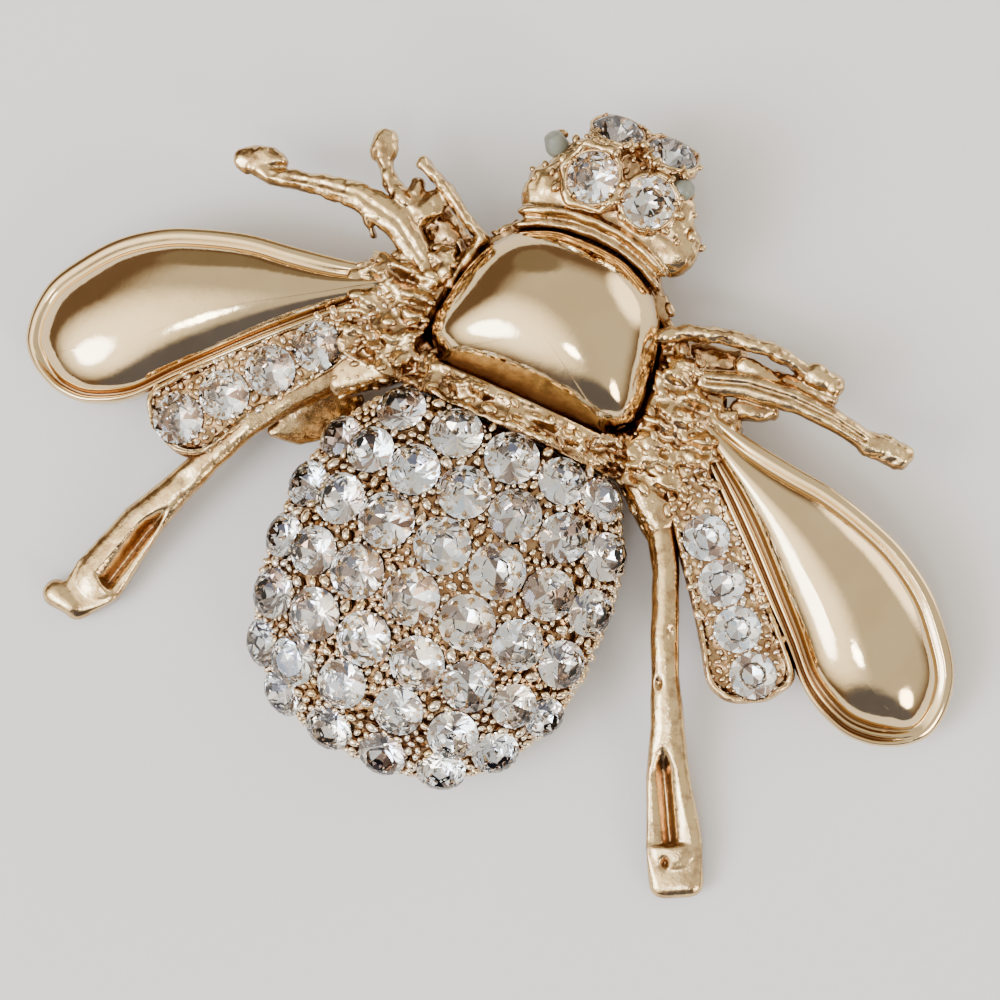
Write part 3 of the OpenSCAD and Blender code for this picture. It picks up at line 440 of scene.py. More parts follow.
def through(points, at):
    """A closed smooth curve through the points, read at places counted in points."""
    p = np.asarray(points, float)
    at = np.asarray(at, float)
    i = np.floor(at).astype(int)
    f = (at - i)[:, None]
    a, b, c, d = (p[(i + k) % len(p)] for k in (-1, 0, 1, 2))
    return b + 0.5 * f * (c - a + f * (2 * a - 5 * b + 4 * c - d + f * (3 * (b - c) + d - a)))


def lumps(points, scale, depth, seed=0):
    """Noise heights at the points: scale in lumps per millimetre."""
    offset = Vector((seed * 13.7, seed * 7.1, seed * 3.3))
    return np.array([noise.noise(Vector(p) * scale + offset) for p in points]) * depth


def layered(points, layers):
    """Noise heights in several layers, each with its scale, depth and seed."""
    return sum(lumps(points, *layer) for layer in layers)


def grid_faces(rings, count):
    """Quads between closed rings of points that all have the same count."""
    faces = []
    for k in range(rings - 1):
        for i in range(count):
            j = (i + 1) % count
            faces.append((k * count + i, k * count + j, (k + 1) * count + j,
                          (k + 1) * count + i))
    return faces


def mesh_of(points, faces):
    """A mesh with merged points and faces that look outwards."""
    mesh = bpy.data.meshes.new("part")
    mesh.from_pydata([tuple(p) for p in points], [], [tuple(f) for f in faces])
    bm = bmesh.new()
    bm.from_mesh(mesh)
    bmesh.ops.remove_doubles(bm, verts=bm.verts, dist=MERGE)
    bmesh.ops.dissolve_degenerate(bm, edges=bm.edges, dist=SLIVER)
    bmesh.ops.recalc_face_normals(bm, faces=bm.faces)
    if bm.calc_volume(signed=True) < 0:
        bmesh.ops.reverse_faces(bm, faces=bm.faces)
    bm.to_mesh(mesh)
    bm.free()
    return mesh


def lofted(rings, start=None, finish=None):
    """A closed skin over rings, each end closed onto a point, or onto the ring itself."""
    count = len(rings[0])
    points = [p for ring in rings for p in ring]
    faces = grid_faces(len(rings), count)
    for point, base in ((start, 0), (finish, (len(rings) - 1) * count)):
        if point is None:
            continue
        points.append(point)
        faces += [(base + i, base + (i + 1) % count, len(points) - 1) for i in range(count)]
    return mesh_of(points, faces)


def ball(centre, width, height, around=16, up=8):
    """Points of an upright ellipsoid."""
    points = [(0, 0, -0.5), (0, 0, 0.5)]
    for k in range(1, up):
        b = math.pi * k / up
        for i in range(around):
            a = 2 * math.pi * i / around
            points.append((0.5 * math.sin(b) * math.cos(a), 0.5 * math.sin(b) * math.sin(a),
                           -0.5 * math.cos(b)))
    return np.array(points) * (width, width, height) + np.asarray(centre, float)


def hull(points):
    """The convex skin of the points."""
    bm = bmesh.new()
    for p in points:
        bm.verts.new(p)
    made = bmesh.ops.convex_hull(bm, input=bm.verts)
    spare = {g for key in ("geom_interior", "geom_unused") for g in made[key]
             if isinstance(g, bmesh.types.BMVert)}
    bmesh.ops.delete(bm, geom=list(spare), context="VERTS")
    bmesh.ops.recalc_face_normals(bm, faces=bm.faces)
    mesh = bpy.data.meshes.new("hull")
    bm.to_mesh(mesh)
    bm.free()
    return mesh


def rod(start, end, start_w, end_w, height, around=16):
    """A rounded rod from one bead to another."""
    return hull(np.concatenate([ball(start, start_w, height, around),
                                ball(end, end_w, height, around)]))


def box_points(low, high):
    """The corners of a block."""
    return [(x, y, z) for x in (low[0], high[0]) for y in (low[1], high[1])
            for z in (low[2], high[2])]


def set_coords(mesh, co):
    """Puts a mesh's points in new places."""
    mesh.vertices.foreach_set("co", np.asarray(co, np.float32).ravel())
    mesh.update()


def moved_mesh(mesh, move):
    """Passes a mesh's points through a function."""
    set_coords(mesh, move(coords(mesh)))
    return mesh


def coords(mesh):
    """The points of a mesh."""
    co = np.empty(len(mesh.vertices) * 3, np.float32)
    mesh.vertices.foreach_get("co", co)
    return co.reshape(-1, 3).astype(float)


def normals(mesh):
    """The normals at a mesh's points."""
    no = np.empty(len(mesh.vertices) * 3, np.float32)
    mesh.vertex_normals.foreach_get("vector", no)
    return no.reshape(-1, 3).astype(float)


def together(meshes):
    """One mesh from several, which are then removed."""
    bm = bmesh.new()
    for mesh in meshes:
        bm.from_mesh(mesh)
    joined = bpy.data.meshes.new("joined")
    bm.to_mesh(joined)
    bm.free()
    for mesh in meshes:
        bpy.data.meshes.remove(mesh)
    return joined


def as_object(mesh, name="bench"):
    """An object for a mesh."""
    obj = bpy.data.objects.new(name, mesh)
    bpy.context.scene.collection.objects.link(obj)
    return obj


def evaluated(obj):
    """The plain mesh of an object with its modifiers, and the object put away."""
    graph = bpy.context.evaluated_depsgraph_get()
    mesh = bpy.data.meshes.new_from_object(obj.evaluated_get(graph), depsgraph=graph)
    source = obj.data
    bpy.data.objects.remove(obj)
    if source.users == 0:
        bpy.data.meshes.remove(source)
    return mesh


def fused(meshes, voxel, rounds=2):
    """Meshes cast into one skin, softened at their joints."""
    obj = as_object(together(meshes))
    remesh = obj.modifiers.new("Cast", "REMESH")
    remesh.mode = "VOXEL"
    remesh.voxel_size = voxel
    soften = obj.modifiers.new("Soften", "SMOOTH")
    soften.factor = 0.5
    soften.iterations = rounds
    return evaluated(obj)


def cup_depth(radius, d):
    """How deep the metal goes under a stone at a distance from its middle."""
    return CUP_DEEPER + abs(CULET_Z) * d * np.clip(1 - radius / (d / 2), 0, 1)


def carved(co, seats):
    """Points pushed down along the stones' axes, so that each stone has its cup."""
    co = co.copy()
    for centre, axis, d in seats:
        rel = co - centre
        up = rel @ axis
        radius = np.linalg.norm(rel - up[:, None] * axis, axis=1)
        depth = cup_depth(radius, d)
        inside = (radius < d / 2 + CUP_WIDER) & (up > -depth) & (up < CUP_OVER)
        co[inside] -= (up + depth)[inside, None] * axis
    return co


def clearance(co, seats, reach=1.2):
    """How far points lie outside the nearest stone's rim."""
    least = np.full(len(co), FAR)
    for centre, axis, d in seats:
        rel = co - centre
        up = rel @ axis
        radius = np.linalg.norm(rel - up[:, None] * axis, axis=1)
        least = np.where(np.abs(up) < reach, np.minimum(least, radius - d / 2), least)
    return least


def roomier(seats, most):
    """Seats with stones grown until they nearly touch, up to a share of their width."""
    grown_seats = []
    for i, (centre, axis, d) in enumerate(seats):
        room = [(np.linalg.norm(centre - c) - STONE_GAP) * 2 * d / (d + e)
                for j, (c, _, e) in enumerate(seats) if j != i]
        grown_seats.append((centre, axis, float(np.clip(min(room), d, d * most))))
    return grown_seats


def packed(points, widths, close, first=None, seed=0):
    """Picks points whose beads just touch: the highest first values, or in a seeded order."""
    order = (np.random.default_rng(seed).permutation(len(points)) if first is None
             else np.argsort(-first, kind="stable"))
    chosen = np.empty(len(points), int)
    count = 0
    for i in order:
        near = chosen[:count]
        gaps = np.sum((points[near] - points[i]) ** 2, axis=1)
        if count == 0 or np.all(gaps > (close * (widths[near] + widths[i]) / 2) ** 2):
            chosen[count] = i
            count += 1
    return chosen[:count]


# Materials

def node_tools(tree):
    """Two short helpers: make a node, and link two sockets."""
    def new(kind, **values):
        node = tree.nodes.new(kind)
        for key, value in values.items():
            if key.startswith("in_"):
                node.inputs[key[3:].replace("_", " ")].default_value = value
            else:
                setattr(node, key, value)
        return node
    return new, tree.links.new


def blank_material(name, metallic=0.0):
    """A material with only a shader and its output."""
    material = bpy.data.materials.new(LOOKS + name)
    material.use_nodes = True
    tree = material.node_tree
    tree.nodes.clear()
    new, link = node_tools(tree)
    output = new("ShaderNodeOutputMaterial")
    shader = new("ShaderNodeBsdfPrincipled")
    shader.inputs["Metallic"].default_value = metallic
    link(shader.outputs[0], output.inputs[0])
    place = new("ShaderNodeTexCoord")
    scaled = new("ShaderNodeMapping", in_Scale=(1000, 1000, 1000))
    link(place.outputs["Object"], scaled.inputs["Vector"])
    return material, shader, scaled.outputs[0], new, link


def noise_at(new, link, vector, scale, detail=2.0, rough=0.5):
    """A noise in features per millimetre."""
    node = new("ShaderNodeTexNoise", in_Scale=scale, in_Detail=detail, in_Roughness=rough)
    link(vector, node.inputs["Vector"])
    return node.outputs["Fac"]


def spread_to(new, link, value, low, high, from_low=0.3, from_high=0.7):
    """A value stretched from one span to another."""
    node = new("ShaderNodeMapRange", in_From_Min=from_low, in_From_Max=from_high,
               in_To_Min=low, in_To_Max=high)
    link(value, node.inputs["Value"])
    return node.outputs["Result"]


def mixed(new, link, factor, first, second):
    """A colour between two, by a factor."""
    node = new("ShaderNodeMix", data_type="RGBA")
    link(factor, node.inputs[0])
    for socket, value in ((node.inputs[6], first), (node.inputs[7], second)):
        if isinstance(value, bpy.types.NodeSocket):
            link(value, socket)
        else:
            socket.default_value = (*value, 1)
    return node.outputs[2]


def drifting(new, link, at, first, second, scale, detail, most=1):
    """A colour that drifts from one to another in soft patches."""
    tone = noise_at(new, link, at, scale, detail)
    return mixed(new, link, spread_to(new, link, tone, 0, most), first, second)


def bumped(new, link, height, shader, depth, strength):
    """A bump of a real depth in millimetres."""
    node = new("ShaderNodeBump", in_Strength=strength, in_Distance=depth * MM)
    link(height, node.inputs["Height"])
    link(node.outputs[0], shader.inputs["Normal"])


def skinned(new, link, shader, skin, low, high, depth, strength):
    """A skin that sets both the roughness and the bump."""
    link(spread_to(new, link, skin, low, high), shader.inputs["Roughness"])
    bumped(new, link, skin, shader, depth, strength)


def hollow_shade(new, link, reach, low, high):
    """How open a place is: nought in its hollows, one on its crests."""
    hollow = new("ShaderNodeAmbientOcclusion", samples=6, in_Distance=reach * MM)
    return spread_to(new, link, hollow.outputs["AO"], 0, 1, low, high)


def polished_gold(finish):
    """Mirror metal with a soft unevenness in its tone and skin, and painted shade that browns it
    where it is hidden.
    """
    material, shader, at, new, link = blank_material("polished_gold", 1.0)
    warm = drifting(new, link, at, finish.gold_shade, finish.gold, scale=0.35, detail=3)
    # Painted shade: brown is mixed in where the place is hidden
    shade = hollow_shade(new, link, reach=1.6, low=0.30, high=0.74)
    link(mixed(new, link, shade, finish.shade_and_stain_brown, warm), shader.inputs["Base Color"])
    skin = noise_at(new, link, at, scale=1.6, detail=2)
    skinned(new, link, shader, skin, low=0.05, high=0.12, depth=0.02, strength=0.35)
    return material


def cast_gold(finish):
    """Cast metal with a grainy skin and random brown stains, and painted shade: bright on its
    crests, brown in its hollows and on flanks that face sideways or down.
    """
    material, shader, at, new, link = blank_material("cast_gold", 1.0)
    # Painted shade: browner in hollows and on flanks facing sideways or down; the noise below
    # adds real stains
    facing = new("ShaderNodeSeparateXYZ")
    link(new("ShaderNodeNewGeometry").outputs["Normal"], facing.inputs[0])
    crest = new("ShaderNodeMath", operation="MULTIPLY")
    link(hollow_shade(new, link, reach=1.1, low=0.40, high=0.97), crest.inputs[0])
    upward = spread_to(new, link, facing.outputs["Z"], 0.30, 1, from_low=0.05, from_high=0.80)
    link(upward, crest.inputs[1])
    shade = new("ShaderNodeMath", operation="MULTIPLY")
    link(crest.outputs[0], shade.inputs[0])
    stain = noise_at(new, link, at, scale=1.1, detail=4, rough=0.6)
    link(spread_to(new, link, stain, 0.30, 1, from_low=0.36, from_high=0.54), shade.inputs[1])
    warm = drifting(new, link, at, finish.cast, finish.gold, scale=0.7, detail=3, most=0.6)
    link(mixed(new, link, shade.outputs[0], finish.shade_and_stain_brown, warm),
         shader.inputs["Base Color"])
    skin = noise_at(new, link, at, scale=2.4, detail=4, rough=0.6)
    skinned(new, link, shader, skin, low=0.09, high=0.22, depth=0.05, strength=0.7)
    return material


def prong_metal(finish):
    """The paler metal of the little prongs between the stones, with painted shade that browns
    their feet.
    """
    material, shader, at, new, link = blank_material("prong_metal", 1.0)
    warm = drifting(new, link, at, finish.prong, finish.cast, scale=0.9, detail=3)
    # Painted shade: brown is mixed in at the prongs' hidden feet
    shade = hollow_shade(new, link, reach=0.8, low=0.28, high=0.80)
    link(mixed(new, link, shade, finish.shade_and_stain_brown, warm), shader.inputs["Base Color"])
    skin = noise_at(new, link, at, scale=5.0, detail=3)
    skinned(new, link, shader, skin, low=0.06, high=0.16, depth=0.03, strength=0.7)
    return material


def stone_glass(finish):
    """The clear crown of a stone, with a faint tint and handling marks."""
    material, shader, at, new, link = blank_material("clear_stone")
    shader.inputs["Transmission Weight"].default_value = 1.0
    shader.inputs["IOR"].default_value = GLASS_IOR
    tint = noise_at(new, link, at, scale=0.8, detail=2)
    pale = tuple(0.93 * c for c in finish.glass)
    link(mixed(new, link, tint, finish.glass, pale), shader.inputs["Base Color"])
    marks = noise_at(new, link, at, scale=5.0, detail=3)
    link(spread_to(new, link, marks, 0.0, 0.015), shader.inputs["Roughness"])
    return material


def stone_foil(finish):
    """The mirrored facets behind a stone, each painted with a random bright or dark glint and a
    flash of colour.
    """
    material, shader, at, new, link = blank_material("stone_foil", 1.0)
    spark = new("ShaderNodeAttribute", attribute_name="spark")
    # Painted glints: each back facet is bright or dark at random
    glint = spread_to(new, link, spark.outputs["Fac"], 0, 1, from_low=0.08, from_high=0.28)
    tone = mixed(new, link, glint, finish.painted_dark_facet, finish.foil_light)
    hue = new("ShaderNodeAttribute", attribute_name="flash")
    ramp = new("ShaderNodeValToRGB")
    ramp.color_ramp.elements[0].color = (*FLASH_COLD, 1)
    ramp.color_ramp.elements[1].color = (*FLASH_WARM, 1)
    ramp.color_ramp.elements[0].position = 0.05
    ramp.color_ramp.elements[1].position = 0.95
    middle = ramp.color_ramp.elements.new(0.5)
    middle.color = (1, 1, 1, 1)
    link(hue.outputs["Fac"], ramp.inputs[0])
    blend = new("ShaderNodeMix", data_type="RGBA", blend_type="MULTIPLY")
    blend.inputs[0].default_value = FLASH_SHARE
    link(tone, blend.inputs[6])
    link(ramp.outputs[0], blend.inputs[7])
    link(blend.outputs[2], shader.inputs["Base Color"])
    marks = noise_at(new, link, at, scale=4.0, detail=2)
    link(spread_to(new, link, marks, 0.0, 0.015), shader.inputs["Roughness"])
    return material


def milky_eye(finish):
    """A cloudy bead with a soft skin."""
    material, shader, at, new, link = blank_material("milky_eye")
    light = tuple(min(1, 1.7 * c) for c in finish.eye)
    cloud = drifting(new, link, at, finish.eye, light, scale=1.8, detail=4)
    link(cloud, shader.inputs["Base Color"])
    shader.inputs["Subsurface Weight"].default_value = 0.35
    shader.inputs["Subsurface Radius"].default_value = (0.6, 0.7, 0.6)
    shader.inputs["Subsurface Scale"].default_value = 0.4 * MM
    skin = noise_at(new, link, at, scale=6.0, detail=3)
    skinned(new, link, shader, skin, low=0.28, high=0.45, depth=0.02, strength=0.6)
    return material


def pin_metal(finish):
    """Drawn metal with fine lines along the bar."""
    material, shader, at, new, link = blank_material("pin_metal", 1.0)
    along = new("ShaderNodeMapping", in_Scale=(0.15, 6, 6))
    link(at, along.inputs["Vector"])
    lines = noise_at(new, link, along.outputs[0], scale=2.0, detail=4)
    dull = tuple(0.7 * c for c in finish.pin)
    link(mixed(new, link, spread_to(new, link, lines, 0, 1), finish.pin, dull),
         shader.inputs["Base Color"])
    skinned(new, link, shader, lines, low=0.22, high=0.42, depth=0.02, strength=0.5)
    return material


def floor_paint(finish):
    """Matt pale paper."""
    material, shader, at, new, link = blank_material("pale_floor")
    tooth = noise_at(new, link, at, scale=3.0, detail=3)
    lighter = tuple(min(1, 1.03 * c) for c in finish.floor)
    link(mixed(new, link, tooth, finish.floor, lighter), shader.inputs["Base Color"])
    link(spread_to(new, link, tooth, 0.65, 0.8), shader.inputs["Roughness"])
    return material


MAKERS = {"polished_gold": polished_gold, "cast_gold": cast_gold,
          "prong_metal": prong_metal, "clear_stone": stone_glass,
          "stone_foil": stone_foil, "milky_eye": milky_eye, "pin_metal": pin_metal,
          "pale_floor": floor_paint}
LOOKS = "bee_"


def material_named(name):
    """The finish with a name, made on its first use; the frame has slots of the same names."""
    found = bpy.data.materials.get(LOOKS + name)
    return found or MAKERS[name](bpy.context.scene.bee_finishes)


# Geometry Nodes

def new_tree(name, inputs):
    """A geometry tree with named inputs, its two ends and a helper to make and link nodes."""
    tree = bpy.data.node_groups.new(name, "GeometryNodeTree")
    tree.interface.new_socket("Geometry", in_out="INPUT", socket_type="NodeSocketGeometry")
    tree.interface.new_socket("Geometry", in_out="OUTPUT", socket_type="NodeSocketGeometry")
    for label, kind, value in inputs:
        socket = tree.interface.new_socket(label, in_out="INPUT", socket_type=kind)
        if value is not None:
            socket.default_value = value
    new, link = node_tools(tree)
    return tree, new("NodeGroupInput"), new("NodeGroupOutput"), new, link


def run_tree(tree, mesh, values):
    """The plain mesh that a tree makes from a mesh, with its inputs set by identifier."""
    obj = as_object(mesh)
    modifier = obj.modifiers.new(tree.name, "NODES")
    modifier.node_group = tree
    for item in tree.interface.items_tree:
        if item.item_type == "SOCKET" and item.in_out == "INPUT" and item.name in values:
            modifier[item.identifier] = values[item.name]
    made = evaluated(obj)
    spare = [m is None for m in made.materials]
    kept = np.cumsum([not empty for empty in spare]) - 1
    slots = np.zeros(len(made.polygons), np.int32)
    made.polygons.foreach_get("material_index", slots)
    for index in reversed([i for i, empty in enumerate(spare) if empty]):
        made.materials.pop(index=index)
    made.polygons.foreach_set("material_index", np.maximum(kept[slots], 0).astype(np.int32))
    return made


def point_mesh(points, **fields):
    """Loose points with float or vector fields for a tree to read."""
    mesh = bpy.data.meshes.new("points")
    mesh.from_pydata([tuple(p) for p in points], [], [])
    for key, value in fields.items():
        value = np.asarray(value, np.float32)
        kind = "FLOAT_VECTOR" if value.ndim == 2 else "FLOAT"
        field = mesh.attributes.new(key, kind, "POINT")
        field.data.foreach_set("vector" if value.ndim == 2 else "value", value.ravel())
    return mesh


def turns_to(axes, spins):
    """Euler turns that bring Z onto each axis after a spin about it."""
    made = []
    for axis, spin in zip(axes, spins):
        lift = Vector(axis).to_track_quat("Z", "Y").to_matrix()
        made.append(tuple((lift @ Matrix.Rotation(spin, 3, "Z")).to_euler()))
    return np.array(made)


def point_field(new, name, kind):
    """A field that the points carry."""
    return new("GeometryNodeInputNamedAttribute", data_type=kind, in_Name=name).outputs[0]


def copies_on_points(new, link, start, shape, scale):
    """A shape on every point, turned by the points' own turns, as real geometry."""
    put = new("GeometryNodeInstanceOnPoints")
    real = new("GeometryNodeRealizeInstances")
    link(start.outputs["Geometry"], put.inputs["Points"])
    link(shape, put.inputs["Instance"])
    link(point_field(new, "turn", "FLOAT_VECTOR"), put.inputs["Rotation"])
    link(scale, put.inputs["Scale"])
    link(put.outputs[0], real.inputs[0])
    return real.outputs[0]


def smooth_and_painted(new, link, start, end, flow):
    """The last steps of a tree of metal shapes."""
    smooth = new("GeometryNodeSetShadeSmooth")
    paint = new("GeometryNodeSetMaterial")
    link(flow, smooth.inputs[0])
    link(smooth.outputs[0], paint.inputs[0])
    link(start.outputs["Metal"], paint.inputs["Material"])
    link(paint.outputs[0], end.inputs[0])


def grain_tree():
    """Round grains on every point of a mesh, each with its own width."""
    tree, start, end, new, link = new_tree("Grains", [
        ("Grain width", "NodeSocketFloat", 0.4), ("Metal", "NodeSocketMaterial", None)])
    grain = new("GeometryNodeMeshIcoSphere", in_Radius=0.5, in_Subdivisions=2)
    size = new("ShaderNodeVectorMath", operation="SCALE")
    link(point_field(new, "width", "FLOAT_VECTOR"), size.inputs[0])
    link(start.outputs["Grain width"], size.inputs["Scale"])
    flow = copies_on_points(new, link, start, grain.outputs[0], size.outputs[0])
    smooth_and_painted(new, link, start, end, flow)
    return tree


def grains(points, widths, s, shape=(1, 1, 1), turn=None, seed=0, material="cast_gold"):
    """Grains of the given widths in millimetres as one mesh, all of one drawn-out shape.

    Each is turned about Z by the given angle and a little more or less, or else at random."""
    sizes = np.asarray(widths)[:, None] * np.asarray(shape) / s.bead_w
    turns = np.zeros((len(points), 3))
    away = np.random.default_rng(seed).uniform(-1, 1, len(points))
    turns[:, 2] = math.pi * away if turn is None else turn + 0.5 * away
    return run_tree(grain_tree(), point_mesh(points, width=sizes, turn=turns),
                    {"Grain width": s.bead_w, "Metal": material_named(material)})


def prongs(spots, seats, s, seed, least_room, thinnest, widest, stray, close, shape, lift=0):
    """Pale prongs in the room between the stones, the widest where there is most room."""
    room = clearance(spots, seats)
    spots, room = spots[room > least_room], room[room > least_room]
    rng = np.random.default_rng(seed)
    widths = np.clip(2 * room + PRONG_LAP, thinnest, rng.uniform(*widest, len(room)))
    chosen = packed(spots, widths, close, room + rng.uniform(0, stray, len(room)))
    return grains(spots[chosen] + (0, 0, lift), widths[chosen], s, shape,
                  material="prong_metal")


def scattered(spots, s, seed, wide, close, shape, sink=0, turn=None):
    """Grains scattered over a rough skin, sunk into it a little."""
    widths = np.random.default_rng(seed + 1).uniform(*wide, len(spots))
    chosen = packed(spots, widths, close, seed=seed)
    return grains(spots[chosen] - (0, 0, sink), widths[chosen], s, shape, turn)


def rim_tree():
    """A thin wire ring round every stone."""
    tree, start, end, new, link = new_tree("Stone rims", [
        ("Wire", "NodeSocketFloat", 0.07), ("Metal", "NodeSocketMaterial", None)])
    circle = new("GeometryNodeCurvePrimitiveCircle", in_Resolution=28, in_Radius=0.5)
    wire = new("GeometryNodeCurvePrimitiveCircle", in_Resolution=6)
    sweep = new("GeometryNodeCurveToMesh")
    link(start.outputs["Wire"], wire.inputs["Radius"])
    link(circle.outputs[0], sweep.inputs[0])
    link(wire.outputs[0], sweep.inputs[1])
    flow = copies_on_points(new, link, start, sweep.outputs[0],
                            point_field(new, "width", "FLOAT"))
    smooth_and_painted(new, link, start, end, flow)
    return tree


def rims(seats, material, wire):
    """The wire rings of a group of stones, a little proud of them and wider."""
    centres = [c + axis * RING_PROUD for c, axis, _ in seats]
    cloud = point_mesh(centres, width=[d + RING_WIDER for _, _, d in seats],
                       turn=turns_to([a for _, a, _ in seats], [0] * len(seats)))
    return run_tree(rim_tree(), cloud, {"Wire": wire, "Metal": material_named(material)})


def cut_stone():
    """A round brilliant of unit width, its back facets marked."""
    def ring(r, z, count, offset=0.0):
        return [(r * math.cos(2 * math.pi * (i + offset) / count),
                 r * math.sin(2 * math.pi * (i + offset) / count), z) for i in range(count)]
    points = ring(TABLE_R, TABLE_Z, 8) + ring(STAR_R, STAR_Z, 8, 0.5)
    points += ring(0.5, GIRDLE_Z, 16) + ring(0.5, -GIRDLE_Z, 16)
    points += ring(MAIN_R, MAIN_Z, 8, 0.5) + [(0, 0, CULET_Z)]
    table, star, top, low, main, culet = 0, 8, 16, 32, 48, 56
    faces = [tuple(range(8))]
    for k in range(8):
        after, before = (k + 1) % 8, (k - 1) % 8
        faces.append((table + k, star + k, table + after))
        faces.append((table + k, star + before, top + 2 * k, star + k))
        faces.append((star + k, top + 2 * k, top + 2 * k + 1))
        faces.append((star + k, top + 2 * k + 1, top + (2 * k + 2) % 16))
    for i in range(16):
        faces.append((top + i, low + i, low + (i + 1) % 16, top + (i + 1) % 16))
    front = len(faces)
    for k in range(8):
        middle, after = low + 2 * k + 1, low + (2 * k + 2) % 16
        faces += [(low + 2 * k, main + k, middle), (middle, main + k, after)]
        faces.append((low + 2 * k, main + (k - 1) % 8, culet, main + k))
    mesh = bpy.data.meshes.new("cut_stone")
    mesh.from_pydata(points, [], faces)
    bm = bmesh.new()
    bm.from_mesh(mesh)
    bmesh.ops.recalc_face_normals(bm, faces=bm.faces)
    bm.to_mesh(mesh)
    bm.free()
    back = mesh.attributes.new("back", "BOOLEAN", "FACE")
    back.data.foreach_set("value", [k >= front for k in range(len(faces))])
    return mesh


def stone_tree():
    """A cut stone on every point, each back facet with its own random painted glint and flash.
    """
    tree, start, end, new, link = new_tree("Set stones", [
        ("Stone", "NodeSocketObject", None), ("Seed", "NodeSocketInt", 3),
        ("Glass", "NodeSocketMaterial", None), ("Foil", "NodeSocketMaterial", None)])
    info = new("GeometryNodeObjectInfo")
    glass = new("GeometryNodeSetMaterial")
    foil = new("GeometryNodeSetMaterial")
    link(start.outputs["Stone"], info.inputs["Object"])
    flow = copies_on_points(new, link, start, info.outputs["Geometry"],
                            point_field(new, "width", "FLOAT"))
    for label, shift in (("spark", 0), ("flash", 1)):
        chance = new("FunctionNodeRandomValue", data_type="FLOAT")
        seed = new("ShaderNodeMath", operation="ADD")
        seed.inputs[1].default_value = shift
        store = new("GeometryNodeStoreNamedAttribute", data_type="FLOAT", domain="FACE",
                    in_Name=label)
        link(start.outputs["Seed"], seed.inputs[0])
        link(seed.outputs[0], chance.inputs["Seed"])
        link(flow, store.inputs["Geometry"])
        link(chance.outputs[1], store.inputs["Value"])
        flow = store.outputs[0]
    link(flow, glass.inputs[0])
    link(start.outputs["Glass"], glass.inputs["Material"])
    link(glass.outputs[0], foil.inputs[0])
    link(point_field(new, "back", "BOOLEAN"), foil.inputs["Selection"])
    link(start.outputs["Foil"], foil.inputs["Material"])
    link(foil.outputs[0], end.inputs[0])
    return tree


def set_stones(seats, seed):
    """The cut stones of a group of seats as one mesh."""
    template = as_object(cut_stone(), "stone_template")
    spins = np.random.default_rng(seed).uniform(0, math.pi / 4, len(seats))
    cloud = point_mesh([c for c, _, _ in seats], width=[d for _, _, d in seats],
                       turn=turns_to([a for _, a, _ in seats], spins))
    mesh = run_tree(stone_tree(), cloud, {
        "Stone": template, "Seed": seed, "Glass": material_named("clear_stone"),
        "Foil": material_named("stone_foil")})
    data = template.data
    bpy.data.objects.remove(template)
    bpy.data.meshes.remove(data)
    return mesh


# Finishing a piece

def piece(name, meshes, slot, replaced, s, smooth=True):
    """A finished piece: joined, laid down, painted like its slot and tied to the frame."""
    for mesh in meshes:
        if not any(mesh.materials):
            mesh.materials.clear()
            mesh.materials.append(material_named(slot))
    obj = as_object(meshes[0], name)
    if len(meshes) > 1:
        others = [as_object(mesh) for mesh in meshes[1:]]
        with bpy.context.temp_override(active_object=obj, object=obj,
                                       selected_editable_objects=[obj, *others],
                                       selected_objects=[obj, *others]):
            bpy.ops.object.join()
    obj.name = name
    moved_mesh(obj.data, lambda co: laid(co, s))
    if smooth:
        obj.data.shade_smooth()
    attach(obj, "root")
    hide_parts(*replaced)
    return obj


# Shapes that several pieces share

def thorax_outline(s, count=200):
    """The thorax in plan, as a smooth closed line."""
    half = [(r[1] * s.thorax_w / 2, s.collar_len + r[0] * s.thorax_len) for r in THORAX_ROWS]
    control = half + [(-x, y) for x, y in reversed(half)]
    return through(control, np.arange(count) * len(control) / count)


def grown(outline, distance):
    """A plan line moved outwards."""
    along = np.roll(outline, -1, 0) - np.roll(outline, 1, 0)
    out = unit(np.stack([along[:, 1], -along[:, 0]], 1))
    return outline + out * distance


def puffed(points, outline):
    """How much room plan points have inside a closed line, as in a blown-up cushion."""
    total = np.zeros(len(points))
    for a, b in zip(outline, np.roll(outline, -1, 0)):
        first, last = a - points[:, :2], b - points[:, :2]
        area = np.abs(first[:, 0] * last[:, 1] - first[:, 1] * last[:, 0])
        angle = np.arctan2(area, np.sum(first * last, axis=1))
        total += angle * np.linalg.norm(b - a) / np.maximum(area, 1e-9)
    return 1 / np.maximum(total, 1e-9)


def level(points, z):
    """Plan points at a height, or at a height each."""
    p = np.asarray(points, float)
    return np.column_stack([p[:, :2], np.broadcast_to(z, len(p))])


def wing_lines(rows, long, wide, start, stop, crest, fine):
    """A wing's outline and, for each of its points, the place on the line of its crest."""
    edge = [(r[0] * long, r[1] * wide) for r in rows]
    edge += [(r[0] * long, r[2] * wide) for r in reversed(rows[:-1])]
    across = [r[2] + crest * (r[1] - r[2]) for r in rows]
    last = [r[0] > 0.8 for r in rows].index(True)
    across[last:] = [across[last]] * (len(rows) - last)
    middle = [((start + (stop - start) * r[0]) * long, y * wide) for r, y in zip(rows, across)]
    middle += middle[-2::-1]
    at = np.arange(len(edge) * fine) / fine
    return through(edge, at), through(middle, at), at


def drawn_in(outline, middle, inset, share):
    """The outline moved toward the middle line by a distance and a share of the rest."""
    gap = np.linalg.norm(middle - outline, axis=1)
    along = np.minimum(0.97, inset / np.maximum(gap, 1e-6))
    at = along + (1 - along) * share
    return outline + (middle - outline) * at[:, None]


